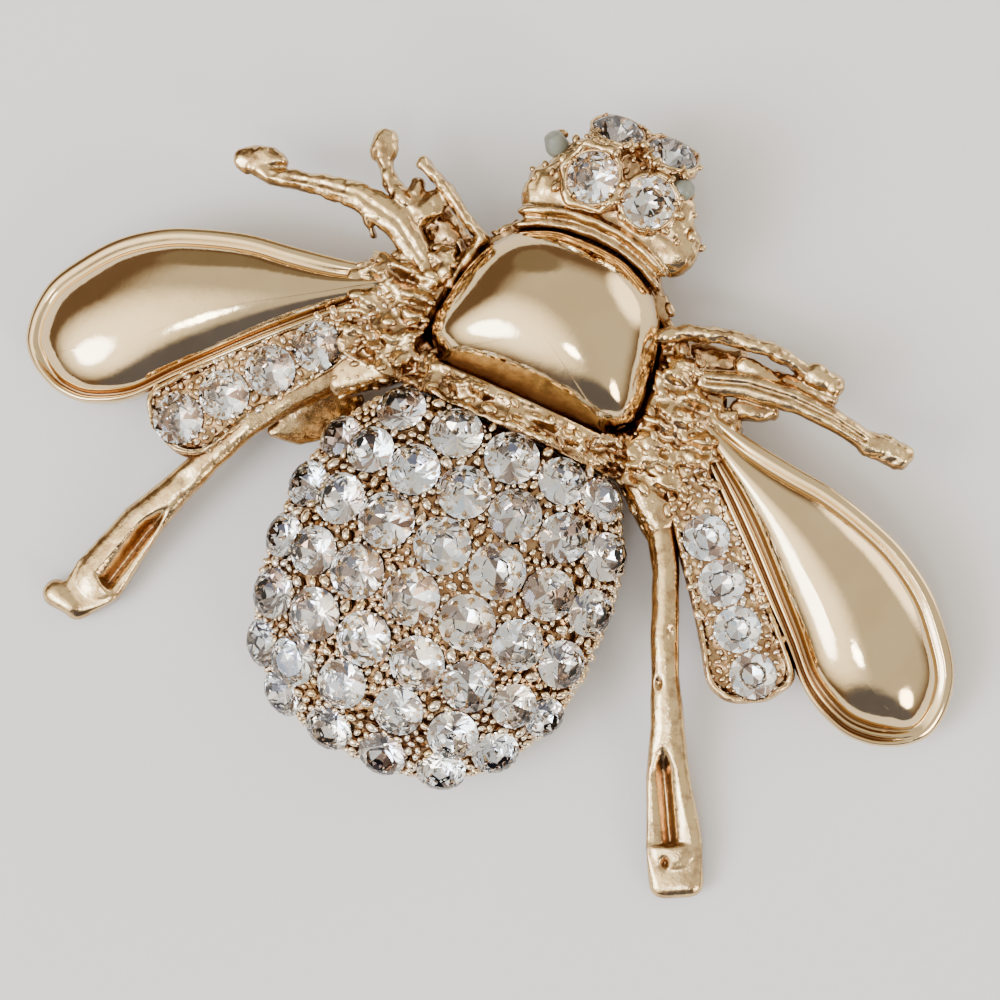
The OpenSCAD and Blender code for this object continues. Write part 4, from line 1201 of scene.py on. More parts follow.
def ridge(q, centre, half, height):
    """A rounded ridge across a profile."""
    return height * np.sqrt(np.clip(1 - ((q - centre) / half) ** 2, 0, 1))


def build_forewings(s):
    """Both polished forewings, with their rolled rims and swells."""
    for side in (LEFT, RIGHT):
        turn, share_w, *_ = WING_SIDES[side]
        wide = s.forewing_w * share_w
        outline, middle, at = wing_lines(FOREWING_ROWS, s.forewing_len, wide,
                                         *FOREWING_CREST, WING_FINE)
        inner = smooth_step(at, *INNER_FROM) * (1 - smooth_step(at, *INNER_TO))
        rim = s.wing_rim_w + RIM_WIDER - inner * INNER_NARROWER[side]
        bed = s.forewing_t - 0.65 * s.wing_groove

        def bow(p):
            share = p[:, 0] / s.forewing_len
            return WING_BOW * share * (1 - share) - WING_DROP * share ** 2

        def rim_height(u):
            q = u * rim
            past = np.clip((q - ROLL_HALF) / (rim - ROLL_HALF), 0, 1)
            roll = np.where(q < ROLL_HALF, ridge(q, ROLL_HALF, ROLL_HALF, ROLL_H),
                            ROLL_FOOT + ROLL_RISE * (1 + np.cos(np.pi * past)))
            fine = sum(ridge(q, *shape) for shape in INNER_RIDGES[side])
            return bed + (1 - inner) * roll + inner * fine

        q = drawn_in(outline, middle, 0, 1)
        rings = [level(q, bow(q) + 0.5)]
        for share in (0.6, 0.25, 0):
            q = drawn_in(outline, middle, 0.5, share)
            rings.append(level(q, bow(q) + 0.45 * share ** 0.7))
        for inset, z in FOREWING_EDGE:
            q = drawn_in(outline, middle, inset, 0)
            rings.append(level(q, bow(q) + z))
        for u in np.linspace(0, 1, 22) ** 1.1:
            q = drawn_in(outline, middle, u * rim, 0)
            rings.append(level(q, bow(q) + rim_height(u)))
        field = [drawn_in(outline, middle, rim, share)
                 for share in np.linspace(0, 1, 38)[1:] ** 1.3]
        room = puffed(np.concatenate(field), drawn_in(outline, middle, rim, 0))
        rise = ((room / room.max()) ** WING_SWELL_POWER).reshape(len(field), -1)
        for q, up in zip(field, rise):
            height = 0.16 * (1 - inner) * (1 - up) + (s.forewing_swell + 0.1) * up
            rings.append(level(q, bow(q) + bed + height))
        mesh = on_its_root(lofted(rings), s.forewing_root, turn, side)
        piece(f"forewing_{SIDE_NAMES[side]}", [mesh], "polished_gold", ["wing_frame"], s)


def wing_seats(side, s):
    """The seats of the stones on one hindwing."""
    _, _, turn, _, first, step = WING_SIDES[side]
    local = [((first + step * i) * s.hindwing_len, 0.1 * s.hindwing_w, s.hindwing_t + 0.05)
             for i in range(WING_STONES)]
    return roomier([(c, np.array((0.0, 0, 1)), s.wing_stone_d)
                    for c in placed(local, s.hindwing_root[side], turn, side)],
                   WING_GROWTH)


def build_hindwings(s):
    """Both hindwings: a grainy field of four stones inside a raised rounded end."""
    seed = bpy.context.scene.bee_finishes.grain_seed
    for side in (LEFT, RIGHT):
        _, _, turn, share_len, *_ = WING_SIDES[side]
        long = share_len * s.hindwing_len
        outline, middle, _ = wing_lines(HINDWING_ROWS, long, s.hindwing_w, *HINDWING_CREST,
                                        WING_FINE)
        wall = smooth_step(outline[:, 0] / long, *WALL_FROM) * s.hindwing_rim_h
        t = s.hindwing_t
        profile = HINDWING_SIDE + [(inset, t + wall + z) for inset, z in HINDWING_WALL]
        rings = [level(middle, 0.45)]
        rings += [level(drawn_in(outline, middle, inset, 0), z) for inset, z in profile]
        rings += [level(drawn_in(outline, middle, 0.52, share), t - 0.06)
                  for share in (0, 0.3, 0.6, 1)]
        slab = on_its_root(lofted(rings), s.hindwing_root[side], turn, side)
        seats = wing_seats(side, s)
        cast = fused([slab], WING_VOXEL, 1)
        co, no = coords(cast), normals(cast)
        field = (no[:, 2] > 0.8) & (co[:, 2] > t + 0.3)
        rough = layered(co, HINDWING_SKIN)
        co = carved(co + no * (rough * field)[:, None], seats)
        set_coords(cast, co)
        spots = np.concatenate([level(drawn_in(outline, middle, 0.34, share), t)
                                for share in np.linspace(0, 0.96, 30)])
        spots = placed(spots, s.hindwing_root[side], turn, side)
        beads = prongs(spots, seats, s, seed + HINDWING_SEED + side, least_room=0.02,
                       thinnest=0.24, widest=(0.32, 0.66), stray=0.2, close=1.2,
                       shape=(1.3, 0.85, 0.95), lift=0.04)
        piece(f"hindwing_{SIDE_NAMES[side]}", [cast, beads], "cast_gold", ["wing_frame"], s)


def build_wing_stones(s):
    """The eight cut stones of the hindwings."""
    for side in (LEFT, RIGHT):
        name = SIDE_NAMES[side]
        piece(f"wing_stones_{name}", [set_stones(wing_seats(side, s), WING_TURNS + side)],
              "clear_stone", [f"wing_stone_{name}_{i + 1}" for i in range(WING_STONES)], s,
              smooth=False)


def hind_point(row, side, s):
    """The middle of one bead of a hind leg."""
    return (row[0] * s.hind_leg_len, row[1 + side] * s.hind_leg_len, row[4] * s.leg_t)


def hind_leg_parts(side, s):
    """The rods of a hind leg, its step and foot, and on the left its ball toe and hip web."""
    ln, fw, t = s.hind_leg_len, s.hind_foot_w, s.leg_t
    bow = HIND_ROWS[-1][1 + side] * ln
    parts = []
    for a, b in zip(HIND_ROWS[:-1], HIND_ROWS[1:]):
        parts.append(rod(hind_point(a, side, s), hind_point(b, side, s), a[3] * fw,
                         b[3] * fw, t, 20))
    foot_z = 0.62 * t
    step = np.array(box_points((STEP_SHARE * ln - 0.25, bow - 0.475 * fw, 0.22 * t),
                               (STEP_SHARE * ln + 0.25, bow + 0.475 * fw, 1.02 * t)))
    if side == RIGHT:
        toes = [ball((0.962 * ln, bow + y * fw, foot_z), 0.5 * fw, 0.85 * t)
                for y in (-0.24, 0.24)]
    else:
        toes = [ball((0.945 * ln, bow + 0.025 * ln, foot_z), 0.4 * fw, 0.7 * t),
                ball((0.962 * ln, bow - 0.020 * ln, foot_z), 0.5 * fw, 0.9 * t)]
    parts.append(hull(np.concatenate([step, *toes])))
    if side == LEFT:
        parts.append(rod((0.982 * ln, bow + 0.045 * ln, foot_z),
                         (0.968 * ln, bow - 0.015 * ln, foot_z), 0.52 * fw, 0.4 * fw, 1.1 * t))
        parts.append(hull(np.concatenate([
            ball((x * ln, y * ln, z * t), 0.6 * t, 0.3 * t, 12, 6) for x, y, z in HIP_WEB])))
    return parts


def build_hind_legs(s):
    """Both hind legs with their trough, step and flat foot."""
    for side in (LEFT, RIGHT):
        ln, fw = s.hind_leg_len, s.hind_foot_w
        cast = fused(hind_leg_parts(side, s), LEG_VOXEL, 3)
        co, no = coords(cast), normals(cast)
        along = co[:, 0] / ln
        mid = np.interp(along, [r[0] for r in HIND_ROWS],
                        [r[1 + side] * ln for r in HIND_ROWS])
        shift, half_share = TROUGH[side]
        half = np.interp(along, TROUGH_PLACES, TROUGH_WIDTHS) * half_share * fw
        off = np.abs(co[:, 1] - mid - shift * fw)
        across = 0.6 * np.clip(1 - off / half, 0, 1) + 0.4 * np.exp(-(off / 0.30) ** 2)
        deep = smooth_step(along, *TROUGH_FROM) * (1 - smooth_step(along, *TROUGH_TO))
        top = no[:, 2] > 0.1
        co[:, 2] -= np.where(top, across * deep, 0)
        for x, y, r, pit in LEG_PITS[side]:
            far = np.hypot(co[:, 0] - x * ln, (co[:, 1] - mid - y * fw) * 1.6) / r
            co[:, 2] -= np.where(top, pit * np.exp(-far ** 2), 0)
        co += no * lumps(co, 0.6, depth=0.07, seed=4 + side)[:, None]
        set_coords(cast, co)
        on_its_root(cast, s.hind_hip, HIND_TURN, side)
        piece(f"hind_leg_{SIDE_NAMES[side]}", [cast], "cast_gold", ["wing_frame"], s)


def build_forelegs(s):
    """Both forelegs, cast from rods."""
    for side in (LEFT, RIGHT):
        parts = []
        w, reach = s.foreleg_w, s.foreleg_reach
        for chain in FORELEGS[side]:
            beads = [((x * reach, y * reach, z * w), wide * w) for x, y, wide, z in chain]
            for (start, start_w), (end, end_w) in zip(beads[:-1], beads[1:]):
                parts.append(rod(start, end, start_w, end_w, FORELEG_HIGH * w, 14))
        cast = fused(parts, FORELEG_VOXEL, 3)
        co, no = coords(cast), normals(cast)
        first, last, groove = GROOVES[side]
        places = dict.fromkeys(bead[:2] for chain in FORELEGS[side][first:last + 1]
                               for bead in chain)
        line = np.array(list(places)[:GROOVE_BEADS]) * reach
        near = np.full(len(co), FAR)
        for a, b in zip(line[:-1], line[1:]):
            leg = b - a
            along = np.clip((co[:, :2] - a) @ leg / (leg @ leg), 0, 1)
            away = co[:, :2] - a - along[:, None] * leg
            near = np.minimum(near, np.hypot(*away.T))
        dip = groove * np.exp(-(near / GROOVE_HALF) ** 2)
        co[:, 2] -= np.where(no[:, 2] > 0.2, dip, 0)
        rough = np.maximum(smooth_step(near, 0.6, 1.2), 0.7 if side == LEFT else 0)
        co += no * (lumps(co, 1.0, depth=0.07, seed=8 + side)
                    + rough * layered(co, FORELEG_SKIN))[:, None]
        set_coords(cast, co)
        on_its_root(cast, s.foreleg_root, 0, side)
        piece(f"foreleg_{SIDE_NAMES[side]}", [cast], "cast_gold", ["wing_frame"], s)


def base_parts(s, outline):
    """The plate under the thorax with its rim, the neck and the two arches of the collar."""
    wall = (1 - smooth_step(outline[:, 1], s.collar_len + 0.68 * s.thorax_len,
                            s.collar_len + 0.78 * s.thorax_len)) * RIM_WALL
    rings = [level(grown(outline, out), z) for out, z in RIM_FOOT]
    rings += [level(grown(outline, out), s.base_t + wall * z) for out, z in RIM_SIDE]
    crest = (0, s.collar_len + THORAX_CREST * s.thorax_len)
    parts = [lofted(rings, (*crest, 0.0), (*crest, s.base_t))]
    neck = 0.25 * s.thorax_w
    parts.append(hull(box_points((-neck, s.head_back - 0.5 * s.thorax_len, 0),
                                 (neck, s.head_back + 0.62 * s.head_len, 0.7 * s.base_t))))
    angles = np.radians(np.linspace(0, 180, 48))
    for wide, high, depth in ((s.collar_w, s.collar_h - 0.25, s.collar_len),
                              (s.collar_w + 0.25, s.collar_h, 0.35)):
        arc = np.stack([wide / 2 * np.cos(angles), high * np.sin(angles)], 1)
        parts.append(hull([(x, y, z) for x, z in arc for y in (0, depth)]))
    return parts


def limb_roots(s):
    """The lumps of metal that join the limbs to the base, each a skin over a few beads."""
    edge = s.thorax_w / 2 + s.seam_w
    front = s.collar_len + 0.6 * s.thorax_len
    hip = s.hind_hip
    wing = ((edge + 4.6, 0.85 * s.collar_len, 1.3), 2.2, 2.2)
    groups = [
        [((edge + 0.6, front, 1.3), 1.6, 2.4), ((edge + 0.5, 0.5 * s.collar_len, 1.7), 1.8, 3.2),
         ((edge + 4.2, s.collar_len + 0.3 * s.thorax_len, 1.4), 2.2, 2.2), wing],
        [((edge + 0.7, 0.25 * s.collar_len, 1.6), 1.6, 2.8),
         ((edge + 4.4, 0.85 * s.collar_len, 1.3), 2.2, 2.2),
         ((hip[0] + 0.2, hip[1] - 0.2, 1.3), 2, 2.2)],
        [((edge + 1.2, s.collar_len + 0.42 * s.thorax_len, 1.4), 2, 2.4),
         ((s.foreleg_root[0] + 0.05 * s.foreleg_reach, s.foreleg_root[1], 1.5), 1.8, 2.4)]]
    skins = []
    for side in (LEFT, RIGHT):
        for group in groups:
            points = np.concatenate([ball(c, w, h) for c, w, h in group])
            skins.append(hull(points * (SIGN[side], 1, 1)))
    return skins


def build_base(s):
    """The base, the rim round the thorax, the collar and the rough roots of the limbs."""
    seed = bpy.context.scene.bee_finishes.grain_seed
    outline = thorax_outline(s)
    cast = fused(base_parts(s, outline) + limb_roots(s), BASE_VOXEL)
    co, no = coords(cast), normals(cast)
    near_rim = in_plan(co, grown(outline, 0.6))
    rough = (lumps(co, 0.55, depth=0.26, seed=11)
             + lumps(co * (0.7, 1.5, 1), 1.1, depth=0.62, seed=12)
             + lumps(co, 2.6, depth=0.16, seed=13))
    rough *= smooth_step(co[:, 2], 0.4, 1.2) * (co[:, 1] > 0.1) * np.where(near_rim, 0.3, 1)
    co += no * rough[:, None]
    room = in_plan(co, grown(outline, ROOM_OUT))
    co[:, 2] = np.where(room, np.minimum(co[:, 2], s.base_t + ROOM_FLOOR), co[:, 2])
    set_coords(cast, co)
    no = normals(cast)
    start, stop, above = COLLAR_GRAINS
    able = (co[:, 1] > start) & (co[:, 1] < stop) & (co[:, 2] > above)
    facing, above, out = ROOT_GRAINS
    able |= (no[:, 2] > facing) & (co[:, 2] > above) & (np.abs(co[:, 0]) > out)
    able &= ~near_rim
    made = [cast]
    for sign in SIGN:
        spots = co[able & (co[:, 0] * sign >= 0)]
        made.append(scattered(spots, s, seed + BASE_SEED, wide=(0.24, 0.74), close=1.75,
                              shape=(1.5, 0.85, 0.7), sink=0.05,
                              turn=math.radians(GRAIN_TURN * sign)))
    piece("body_base", made, "cast_gold", ["wing_frame"], s)


def in_plan(co, outline):
    """Which points lie inside a closed plan line."""
    x, y = co[:, 0], co[:, 1]
    inside = np.zeros(len(co), bool)
    for a, b in zip(outline, np.roll(outline, -1, 0)):
        crosses = (a[1] > y) != (b[1] > y)
        if a[1] != b[1]:
            inside ^= crosses & (x < (b[0] - a[0]) * (y - a[1]) / (b[1] - a[1]) + a[0])
    return inside


def build_thorax(s):
    """The polished hollow dome of the thorax."""
    outline = grown(thorax_outline(s, 240), DOME_LAP)
    crest = np.array([0, s.collar_len + THORAX_CREST * s.thorax_len])
    foot, wall = s.base_t + s.seat_gap, DOME_WALL

    def ring(share, z):
        return level(crest + (outline - crest) * share, z)

    rings = [ring(DOME_ROOM, foot), ring(0.985, foot), ring(1, foot + 0.08),
             ring(1, foot + wall)]
    shares = np.sin(np.radians(np.linspace(86, 1.5, 56)))
    room = puffed(np.concatenate([ring(share, 0) for share in shares]), outline)
    rise = ((room / room.max()) ** DOME_SWELL_POWER).reshape(len(shares), -1)
    for share, up in zip(shares, rise):
        rings.append(ring(share, foot + wall + (s.thorax_h - wall) * up))
    inner_h = s.thorax_h - wall - DOME_TOP
    start = []
    for share in (0.1, 0.5, 0.8, 1):
        up = math.sqrt(max(0, 1 - share ** DOME_ROOM_POWER))
        start.append(ring(DOME_ROOM * share, foot + wall + inner_h * up))
    mesh = lofted(start + rings, (*crest, foot + wall + inner_h),
                  (*crest, rings[-1][:, 2].mean()))
    piece("thorax", [mesh], "polished_gold", ["thorax_dome"], s)


def plan_share(x, y, s):
    """How far out a plan point of the abdomen lies."""
    return (np.abs(x / (s.abdomen_w / 2)) ** PLAN_POWER
            + np.abs(y / (s.abdomen_len / 2)) ** PLAN_POWER) ** (1 / PLAN_POWER)


def dome_height(x, y, s):
    """The height of the abdomen's metal at a plan point."""
    out = np.minimum(1, plan_share(x, y, s)) ** DOME_POWER
    return s.skirt_h + (s.abdomen_h - s.skirt_h) * np.maximum(0, 1 - out) ** (1 / DOME_POWER)


def abdomen_seats(s):
    """The seats of the stones on the abdomen: place, axis and width."""
    seats, e = [], SLOPE_STEP
    for row, draw, shares in STONE_ROWS:
        for share in shares:
            x = share * s.abdomen_w / 2
            y = row * (1 - draw * share * share) * s.abdomen_len / 2
            out = plan_share(x, y, s) ** 2
            d = s.field_d - (s.field_d - s.side_d) * min(1, 1.15 * out)
            normal = unit([(dome_height(x - e, y, s) - dome_height(x + e, y, s)) / (2 * e),
                           (dome_height(x, y - e, s) - dome_height(x, y + e, s)) / (2 * e), 1])
            axis = unit(normal + (0, 0, LEAN * out))
            seats.append((np.array([x, y + s.abdomen_y, dome_height(x, y, s)]), axis, d))
    return roomier(seats, ABDOMEN_GROWTH)


def build_abdomen(s):
    """The domed metal of the abdomen with a cup, a rim and grains round each stone."""
    seed = bpy.context.scene.bee_finishes.grain_seed
    seats = abdomen_seats(s)
    angles = 2 * np.pi * np.arange(ABDOMEN_AROUND) / ABDOMEN_AROUND

    def plan(inset, share):
        c, n = np.cos(angles), np.sin(angles)
        e = 2 / PLAN_POWER
        return np.stack([np.sign(c) * np.abs(c) ** e * (s.abdomen_w / 2 - inset) * share,
                         np.sign(n) * np.abs(n) ** e * (s.abdomen_len / 2 - inset) * share
                         + s.abdomen_y], 1)

    def dome(share, low, high):
        return low + (high - low) * max(0, 1 - share ** DOME_POWER) ** (1 / DOME_POWER)

    inner_top = s.abdomen_h - s.abdomen_wall
    rings = [level(plan(s.abdomen_wall, q), dome(q, s.skirt_h, inner_top))
             for q in (0.1, 0.4, 0.7, 0.9, 1)]
    rings += [level(plan(s.abdomen_wall, 1), 0.0), level(plan(0.15, 1), 0.0)]
    rings += [level(plan(0, 1), z) for z in np.linspace(0.15, s.skirt_h - 0.1, 12)]
    outer = len(rings)
    rings += [level(plan(0, q), dome(q, s.skirt_h, s.abdomen_h))
              for q in np.sin(np.radians(np.linspace(90, 1.2, 88)))]
    mesh = lofted(rings, (0, s.abdomen_y, inner_top), (0, s.abdomen_y, s.abdomen_h))
    co, no = coords(mesh), normals(mesh)
    skin = np.concatenate(rings[outer - 8:])
    outside = co[:, 2] > 0.2
    out_share = plan_share(co[:, 0], co[:, 1] - s.abdomen_y, s)
    outside &= (out_share > 0.97) | (co[:, 2] > dome_height(co[:, 0],
                                                            co[:, 1] - s.abdomen_y, s) - 0.3)
    rough = layered(co, ABDOMEN_SKIN) - ABDOMEN_SINK
    co += no * (rough * outside)[:, None]
    carved_co = carved(co, seats)
    co[outside] = carved_co[outside]
    co[:, 1] = np.minimum(co[:, 1], -s.seat_gap)
    set_coords(mesh, co)
    spots = skin[(skin[:, 1] < -0.25) & (skin[:, 2] > 0.8)]
    beads = prongs(spots, seats, s, seed + ABDOMEN_SEED, least_room=0.05, thinnest=0.22,
                   widest=(0.40, 0.76), stray=0.12, close=1.1, shape=(1.2, 0.85, 0.9))
    piece("abdomen_metal", [mesh, beads], "cast_gold", ["abdomen_setting"], s)


def build_abdomen_stones(s):
    """The cut stones of the abdomen."""
    piece("abdomen_field", [set_stones(abdomen_seats(s), FIELD_TURNS)], "clear_stone",
          ["abdomen_stones"], s, smooth=False)


def head_seats(s):
    """The seats of the four head stones."""
    seats = []
    for row in HEAD_SEATS:
        for side in (LEFT, RIGHT):
            a, b = math.radians(row[3]), math.radians(SIGN[side] * row[4])
            axis = np.array([math.cos(a) * math.sin(b), math.sin(a), math.cos(a) * math.cos(b)])
            seats.append((np.array([HEAD_SHIFT + SIGN[side] * row[0] * s.head_w,
                                    s.head_back + row[1] * s.head_len, row[2] * s.head_h]),
                          axis, s.head_stone_d))
    return roomier(seats, HEAD_GROWTH)


def eye_place(side, s):
    """The middle of one eye."""
    seat = EYE_SEATS[side]
    return np.array([HEAD_SHIFT + SIGN[side] * seat[0] * s.head_w,
                     s.head_back + seat[1] * s.head_len, seat[2] * s.head_h])


def arc_tube(radius, centre, z, half_wide, half_high, reach, steps=60, around=14):
    """A band bent round the thorax: an oval drawn along an arc, with rounded ends."""
    limit = math.asin(reach / radius)
    rings = []
    for a in np.linspace(-limit, limit, steps):
        close = math.sqrt(max(0.02, 1 - abs(a / limit) ** 8))
        out = np.array([math.sin(a), math.cos(a)])
        ring = []
        for i in range(around):
            b = 2 * math.pi * i / around
            r = radius + half_wide * close * math.cos(b)
            ring.append((centre[0] + out[0] * r, centre[1] + out[1] * r,
                         z + half_high * close * math.sin(b)))
        rings.append(ring)
    ends = [tuple(np.mean(rings[k], axis=0)) for k in (0, -1)]
    return lofted(rings, *ends)


def head_parts(s, low):
    """The head's cheeks and front, the seats of the eyes and the bands at its back."""
    cheek = 0.30 * s.head_w
    back, ln, hh = s.head_back, s.head_len, s.head_h
    core, front = [], []
    for sign in SIGN:
        x = HEAD_SHIFT
        core += [ball((x + sign * (s.head_w - cheek) / 2, back + 0.26 * ln, 0.55 * hh), cheek,
                      0.62 * hh),
                 ball((x + sign * 0.2 * s.head_w, back + 0.62 * ln, 0.68 * hh), cheek,
                      0.5 * hh),
                 ball((x + sign * 0.3 * s.head_w, back + 0.3 * ln, low + 0.25),
                      0.2 * s.head_w, 0.5)]
        front += [ball((x + sign * 0.17 * s.head_w, back + 0.5 * ln, 0.6 * hh), cheek,
                       0.55 * hh),
                  ball((x + sign * 0.15 * s.head_w, back + 0.87 * ln, 0.47 * hh),
                       0.26 * s.head_w, 0.42 * hh)]
    parts = [hull(np.concatenate(core)), hull(np.concatenate(front))]
    for side in (LEFT, RIGHT):
        p = eye_place(side, s)
        parts.append(hull(np.concatenate([
            ball(p - (0, 0, 0.35 * s.eye_d), 0.9 * s.eye_d, 0.5 * s.eye_d),
            ball((SIGN[side] * 0.25 * s.head_w, back + 0.6 * ln, 0.5 * hh), s.eye_d,
                 s.eye_d)])))
    radius = 0.9 * s.thorax_len
    for shift, share in HEAD_BANDS:
        parts.append(arc_tube(radius + shift, (0, back + 0.35 - radius), share * hh,
                              BAND_WIDE, BAND_HIGH, 0.42 * s.head_w))
    return parts


def head_mounts(seats):
    """The posts under the head stones with one six-sided ridge, and the claws over them."""
    posts, claws = [], []
    for k, (centre, axis, d) in enumerate(seats):
        turn = lift_to(axis)

        def at(angle, r, z):
            a = math.radians(angle)
            return centre + turn @ np.array([r * math.cos(a), r * math.sin(a), z])

        if k == 0:
            corners = [at(60 * i + 12, d / 2 + 0.42, 0.05) for i in range(7)]
            for a, b in zip(corners[:-1], corners[1:]):
                posts.append(rod(a, b, 0.42, 0.42, 0.42, 10))
        for angle in CLAW_TURNS:
            claws.append(hull(np.concatenate([
                ball(at(angle, d / 2 + 0.16, -0.25), 0.5, 0.5, 8, 5),
                ball(at(angle, d / 2 - 0.06, 0.20), 0.26, 0.22, 8, 5)])))
        wide = d / 2 + 0.25
        post = np.array([(wide * math.cos(a), wide * math.sin(a), z)
                         for a in np.radians(np.arange(0, 360, 15)) for z in (-1.0, 0.06)])
        posts.append(hull(post @ turn.T + centre))
    return posts, claws


def build_head(s):
    """The cast head: cheeks, three bands, seats and claws."""
    seed = bpy.context.scene.bee_finishes.grain_seed
    back, low = s.head_back, 0.7 * s.base_t + s.seat_gap
    seats = head_seats(s)
    posts, claws = head_mounts(seats)
    cast = fused(head_parts(s, low) + posts, HEAD_VOXEL)
    co, no = coords(cast), normals(cast)
    rough = layered(co, HEAD_SKIN)
    rough *= (0.4 + 0.6 * smooth_step(co[:, 1], back + 1.6, back + 2.4)) * (co[:, 2] > 1.4)
    co = carved(co + no * rough[:, None], seats)
    co[:, 2] = np.maximum(co[:, 2], low)
    room = grown(thorax_outline(s), s.seat_gap + 0.12)
    edge = room[room[:, 1] > s.collar_len + 0.6 * s.thorax_len]
    edge = edge[np.argsort(edge[:, 0])]
    pressed = in_plan(co, room)
    co[pressed, 1] = np.interp(co[pressed, 0], edge[:, 0], edge[:, 1])
    set_coords(cast, co)
    no = normals(cast)
    able = (no[:, 2] > 0.1) & (co[:, 1] > back + 1.9) & (co[:, 2] > 1.8)
    able &= clearance(co, seats, 1.6) > 0.2
    beads = scattered(co[able], s, seed + HEAD_SEED, wide=(0.35, 0.75), close=1.7,
                      shape=(1.2, 0.9, 0.9))
    piece("head", [cast, beads, together(claws), rims(seats, "cast_gold", 0.035)],
          "cast_gold", ["head_setting"], s)


def build_head_stones(s):
    """The four cut stones of the head."""
    piece("head_stones", [set_stones(head_seats(s), HEAD_TURNS)], "clear_stone",
          ["head_stone_left", "head_stone_right", "front_stone_left", "front_stone_right"], s,
          smooth=False)


def build_eyes(s):
    """Two milky studs that lean outwards, each a blunt cone."""
    for side in (LEFT, RIGHT):
        centre = eye_place(side, s)
        r = s.eye_d / 2
        lean = unit(np.array(EYE_LEAN) * (SIGN[side], 1, 1))
        turn = lift_to(lean)
        rings = []
        for share, z in EYE_SIDE:
            rings.append([centre + turn @ np.array((r * share * math.cos(a),
                                                    r * share * math.sin(a), r * z))
                          for a in np.radians(np.arange(0, 360, 12))])
        mesh = lofted(rings, tuple(centre - 0.85 * r * lean), tuple(centre + r * lean))
        piece(f"eye_stud_{SIDE_NAMES[side]}", [mesh], "milky_eye",
              [f"eye_{SIDE_NAMES[side]}"], s)


def dress_pin():
    """The pin fitting keeps its solid and gets its metal."""
    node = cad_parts["pin_bar"]
    node.data.materials.clear()
    node.data.materials.append(material_named("pin_metal"))


def build_stage():
    """A plain pale floor, a soft lamp and the camera at the photograph's angle."""
    scene = bpy.context.scene
    stage = scene.bee_stage
    half = FLOOR_HALF
    mesh = bpy.data.meshes.new("floor")
    mesh.from_pydata([(-half, -half, 0), (half, -half, 0), (half, half, 0), (-half, half, 0)],
                     [], [(0, 1, 2, 3)])
    mesh.materials.append(material_named("pale_floor"))
    as_object(mesh, "floor")

    data = bpy.data.cameras.new("camera")
    data.lens = stage.lens
    data.sensor_width = SENSOR
    data.clip_start, data.clip_end = CAMERA_CLIP
    camera = bpy.data.objects.new("camera", data)
    scene.collection.objects.link(camera)
    back = Vector(CAMERA_BACK)
    up = back.cross(Vector(CAMERA_RIGHT)).normalized()
    right = up.cross(back).normalized()
    turn = Matrix((right, up, back.normalized())).transposed().to_4x4()
    camera.matrix_world = Matrix.Translation(Vector(stage.eye_point)) @ turn
    scene.camera = camera

    light = bpy.data.lights.new("soft_lamp", "AREA")
    light.shape = "RECTANGLE"
    light.size, light.size_y = LAMP_SIZE
    light.energy = stage.soft_lamp
    light.color = LAMP_TINT
    holder = bpy.data.objects.new("soft_lamp", light)
    place = Vector(LAMP_FROM).normalized() * LAMP_FAR
    aim = place.to_track_quat("Z", "Y").to_matrix().to_4x4()
    holder.matrix_world = Matrix.Translation(place) @ aim
    holder.visible_glossy = False
    scene.collection.objects.link(holder)

    world = bpy.data.worlds.new("room")
    scene.world = world
    world.use_nodes = True
    tree = world.node_tree
    tree.nodes.clear()
    new, link = node_tools(tree)
    ray = new("ShaderNodeTexCoord").outputs["Generated"]
    tone = new("ShaderNodeRGB").outputs[0]
    tone.default_value = (*SKY_TONE, 1)
    for direction, inside, outside, colour_there in SKY:
        dot = new("ShaderNodeVectorMath", operation="DOT_PRODUCT")
        link(ray, dot.inputs[0])
        dot.inputs[1].default_value = unit(direction)
        patch = new("ShaderNodeMapRange", interpolation_type="SMOOTHSTEP",
                    in_From_Min=math.cos(math.radians(outside)),
                    in_From_Max=math.cos(math.radians(inside)))
        link(dot.outputs["Value"], patch.inputs["Value"])
        tone = mixed(new, link, patch.outputs[0], tone, colour_there)
    glow = new("ShaderNodeBackground", in_Strength=stage.room)
    link(tone, glow.inputs["Color"])
    output = new("ShaderNodeOutputWorld")
    link(glow.outputs[0], output.inputs[0])


class BEE_OT_stage(bpy.types.Operator):
    """Make the floor, the lights and the camera"""
    bl_idname = "bee.stage"
    bl_label = "Stage"

    def execute(self, context):
        build_stage()
        return {"FINISHED"}


class BEE_OT_forewings(bpy.types.Operator):
    """Make the two polished forewings"""
    bl_idname = "bee.forewings"
    bl_label = "Forewings"

    def execute(self, context):
        build_forewings(Sizes())
        return {"FINISHED"}


class BEE_OT_hindwings(bpy.types.Operator):
    """Make the two hindwings with their grains and rims"""
    bl_idname = "bee.hindwings"
    bl_label = "Hindwings"

    def execute(self, context):
        build_hindwings(Sizes())
        return {"FINISHED"}


class BEE_OT_wing_stones(bpy.types.Operator):
    """Set the stones of the hindwings"""
    bl_idname = "bee.wing_stones"
    bl_label = "Wing stones"

    def execute(self, context):
        build_wing_stones(Sizes())
        return {"FINISHED"}


class BEE_OT_hind_legs(bpy.types.Operator):
    """Make the two hind legs"""
    bl_idname = "bee.hind_legs"
    bl_label = "Hind legs"

    def execute(self, context):
        build_hind_legs(Sizes())
        return {"FINISHED"}


class BEE_OT_forelegs(bpy.types.Operator):
    """Make the two forelegs"""
    bl_idname = "bee.forelegs"
    bl_label = "Forelegs"

    def execute(self, context):
        build_forelegs(Sizes())
        return {"FINISHED"}


class BEE_OT_base(bpy.types.Operator):
    """Make the base, the collar and the roots of the limbs"""
    bl_idname = "bee.base"
    bl_label = "Base and collar"

    def execute(self, context):
        build_base(Sizes())
        return {"FINISHED"}


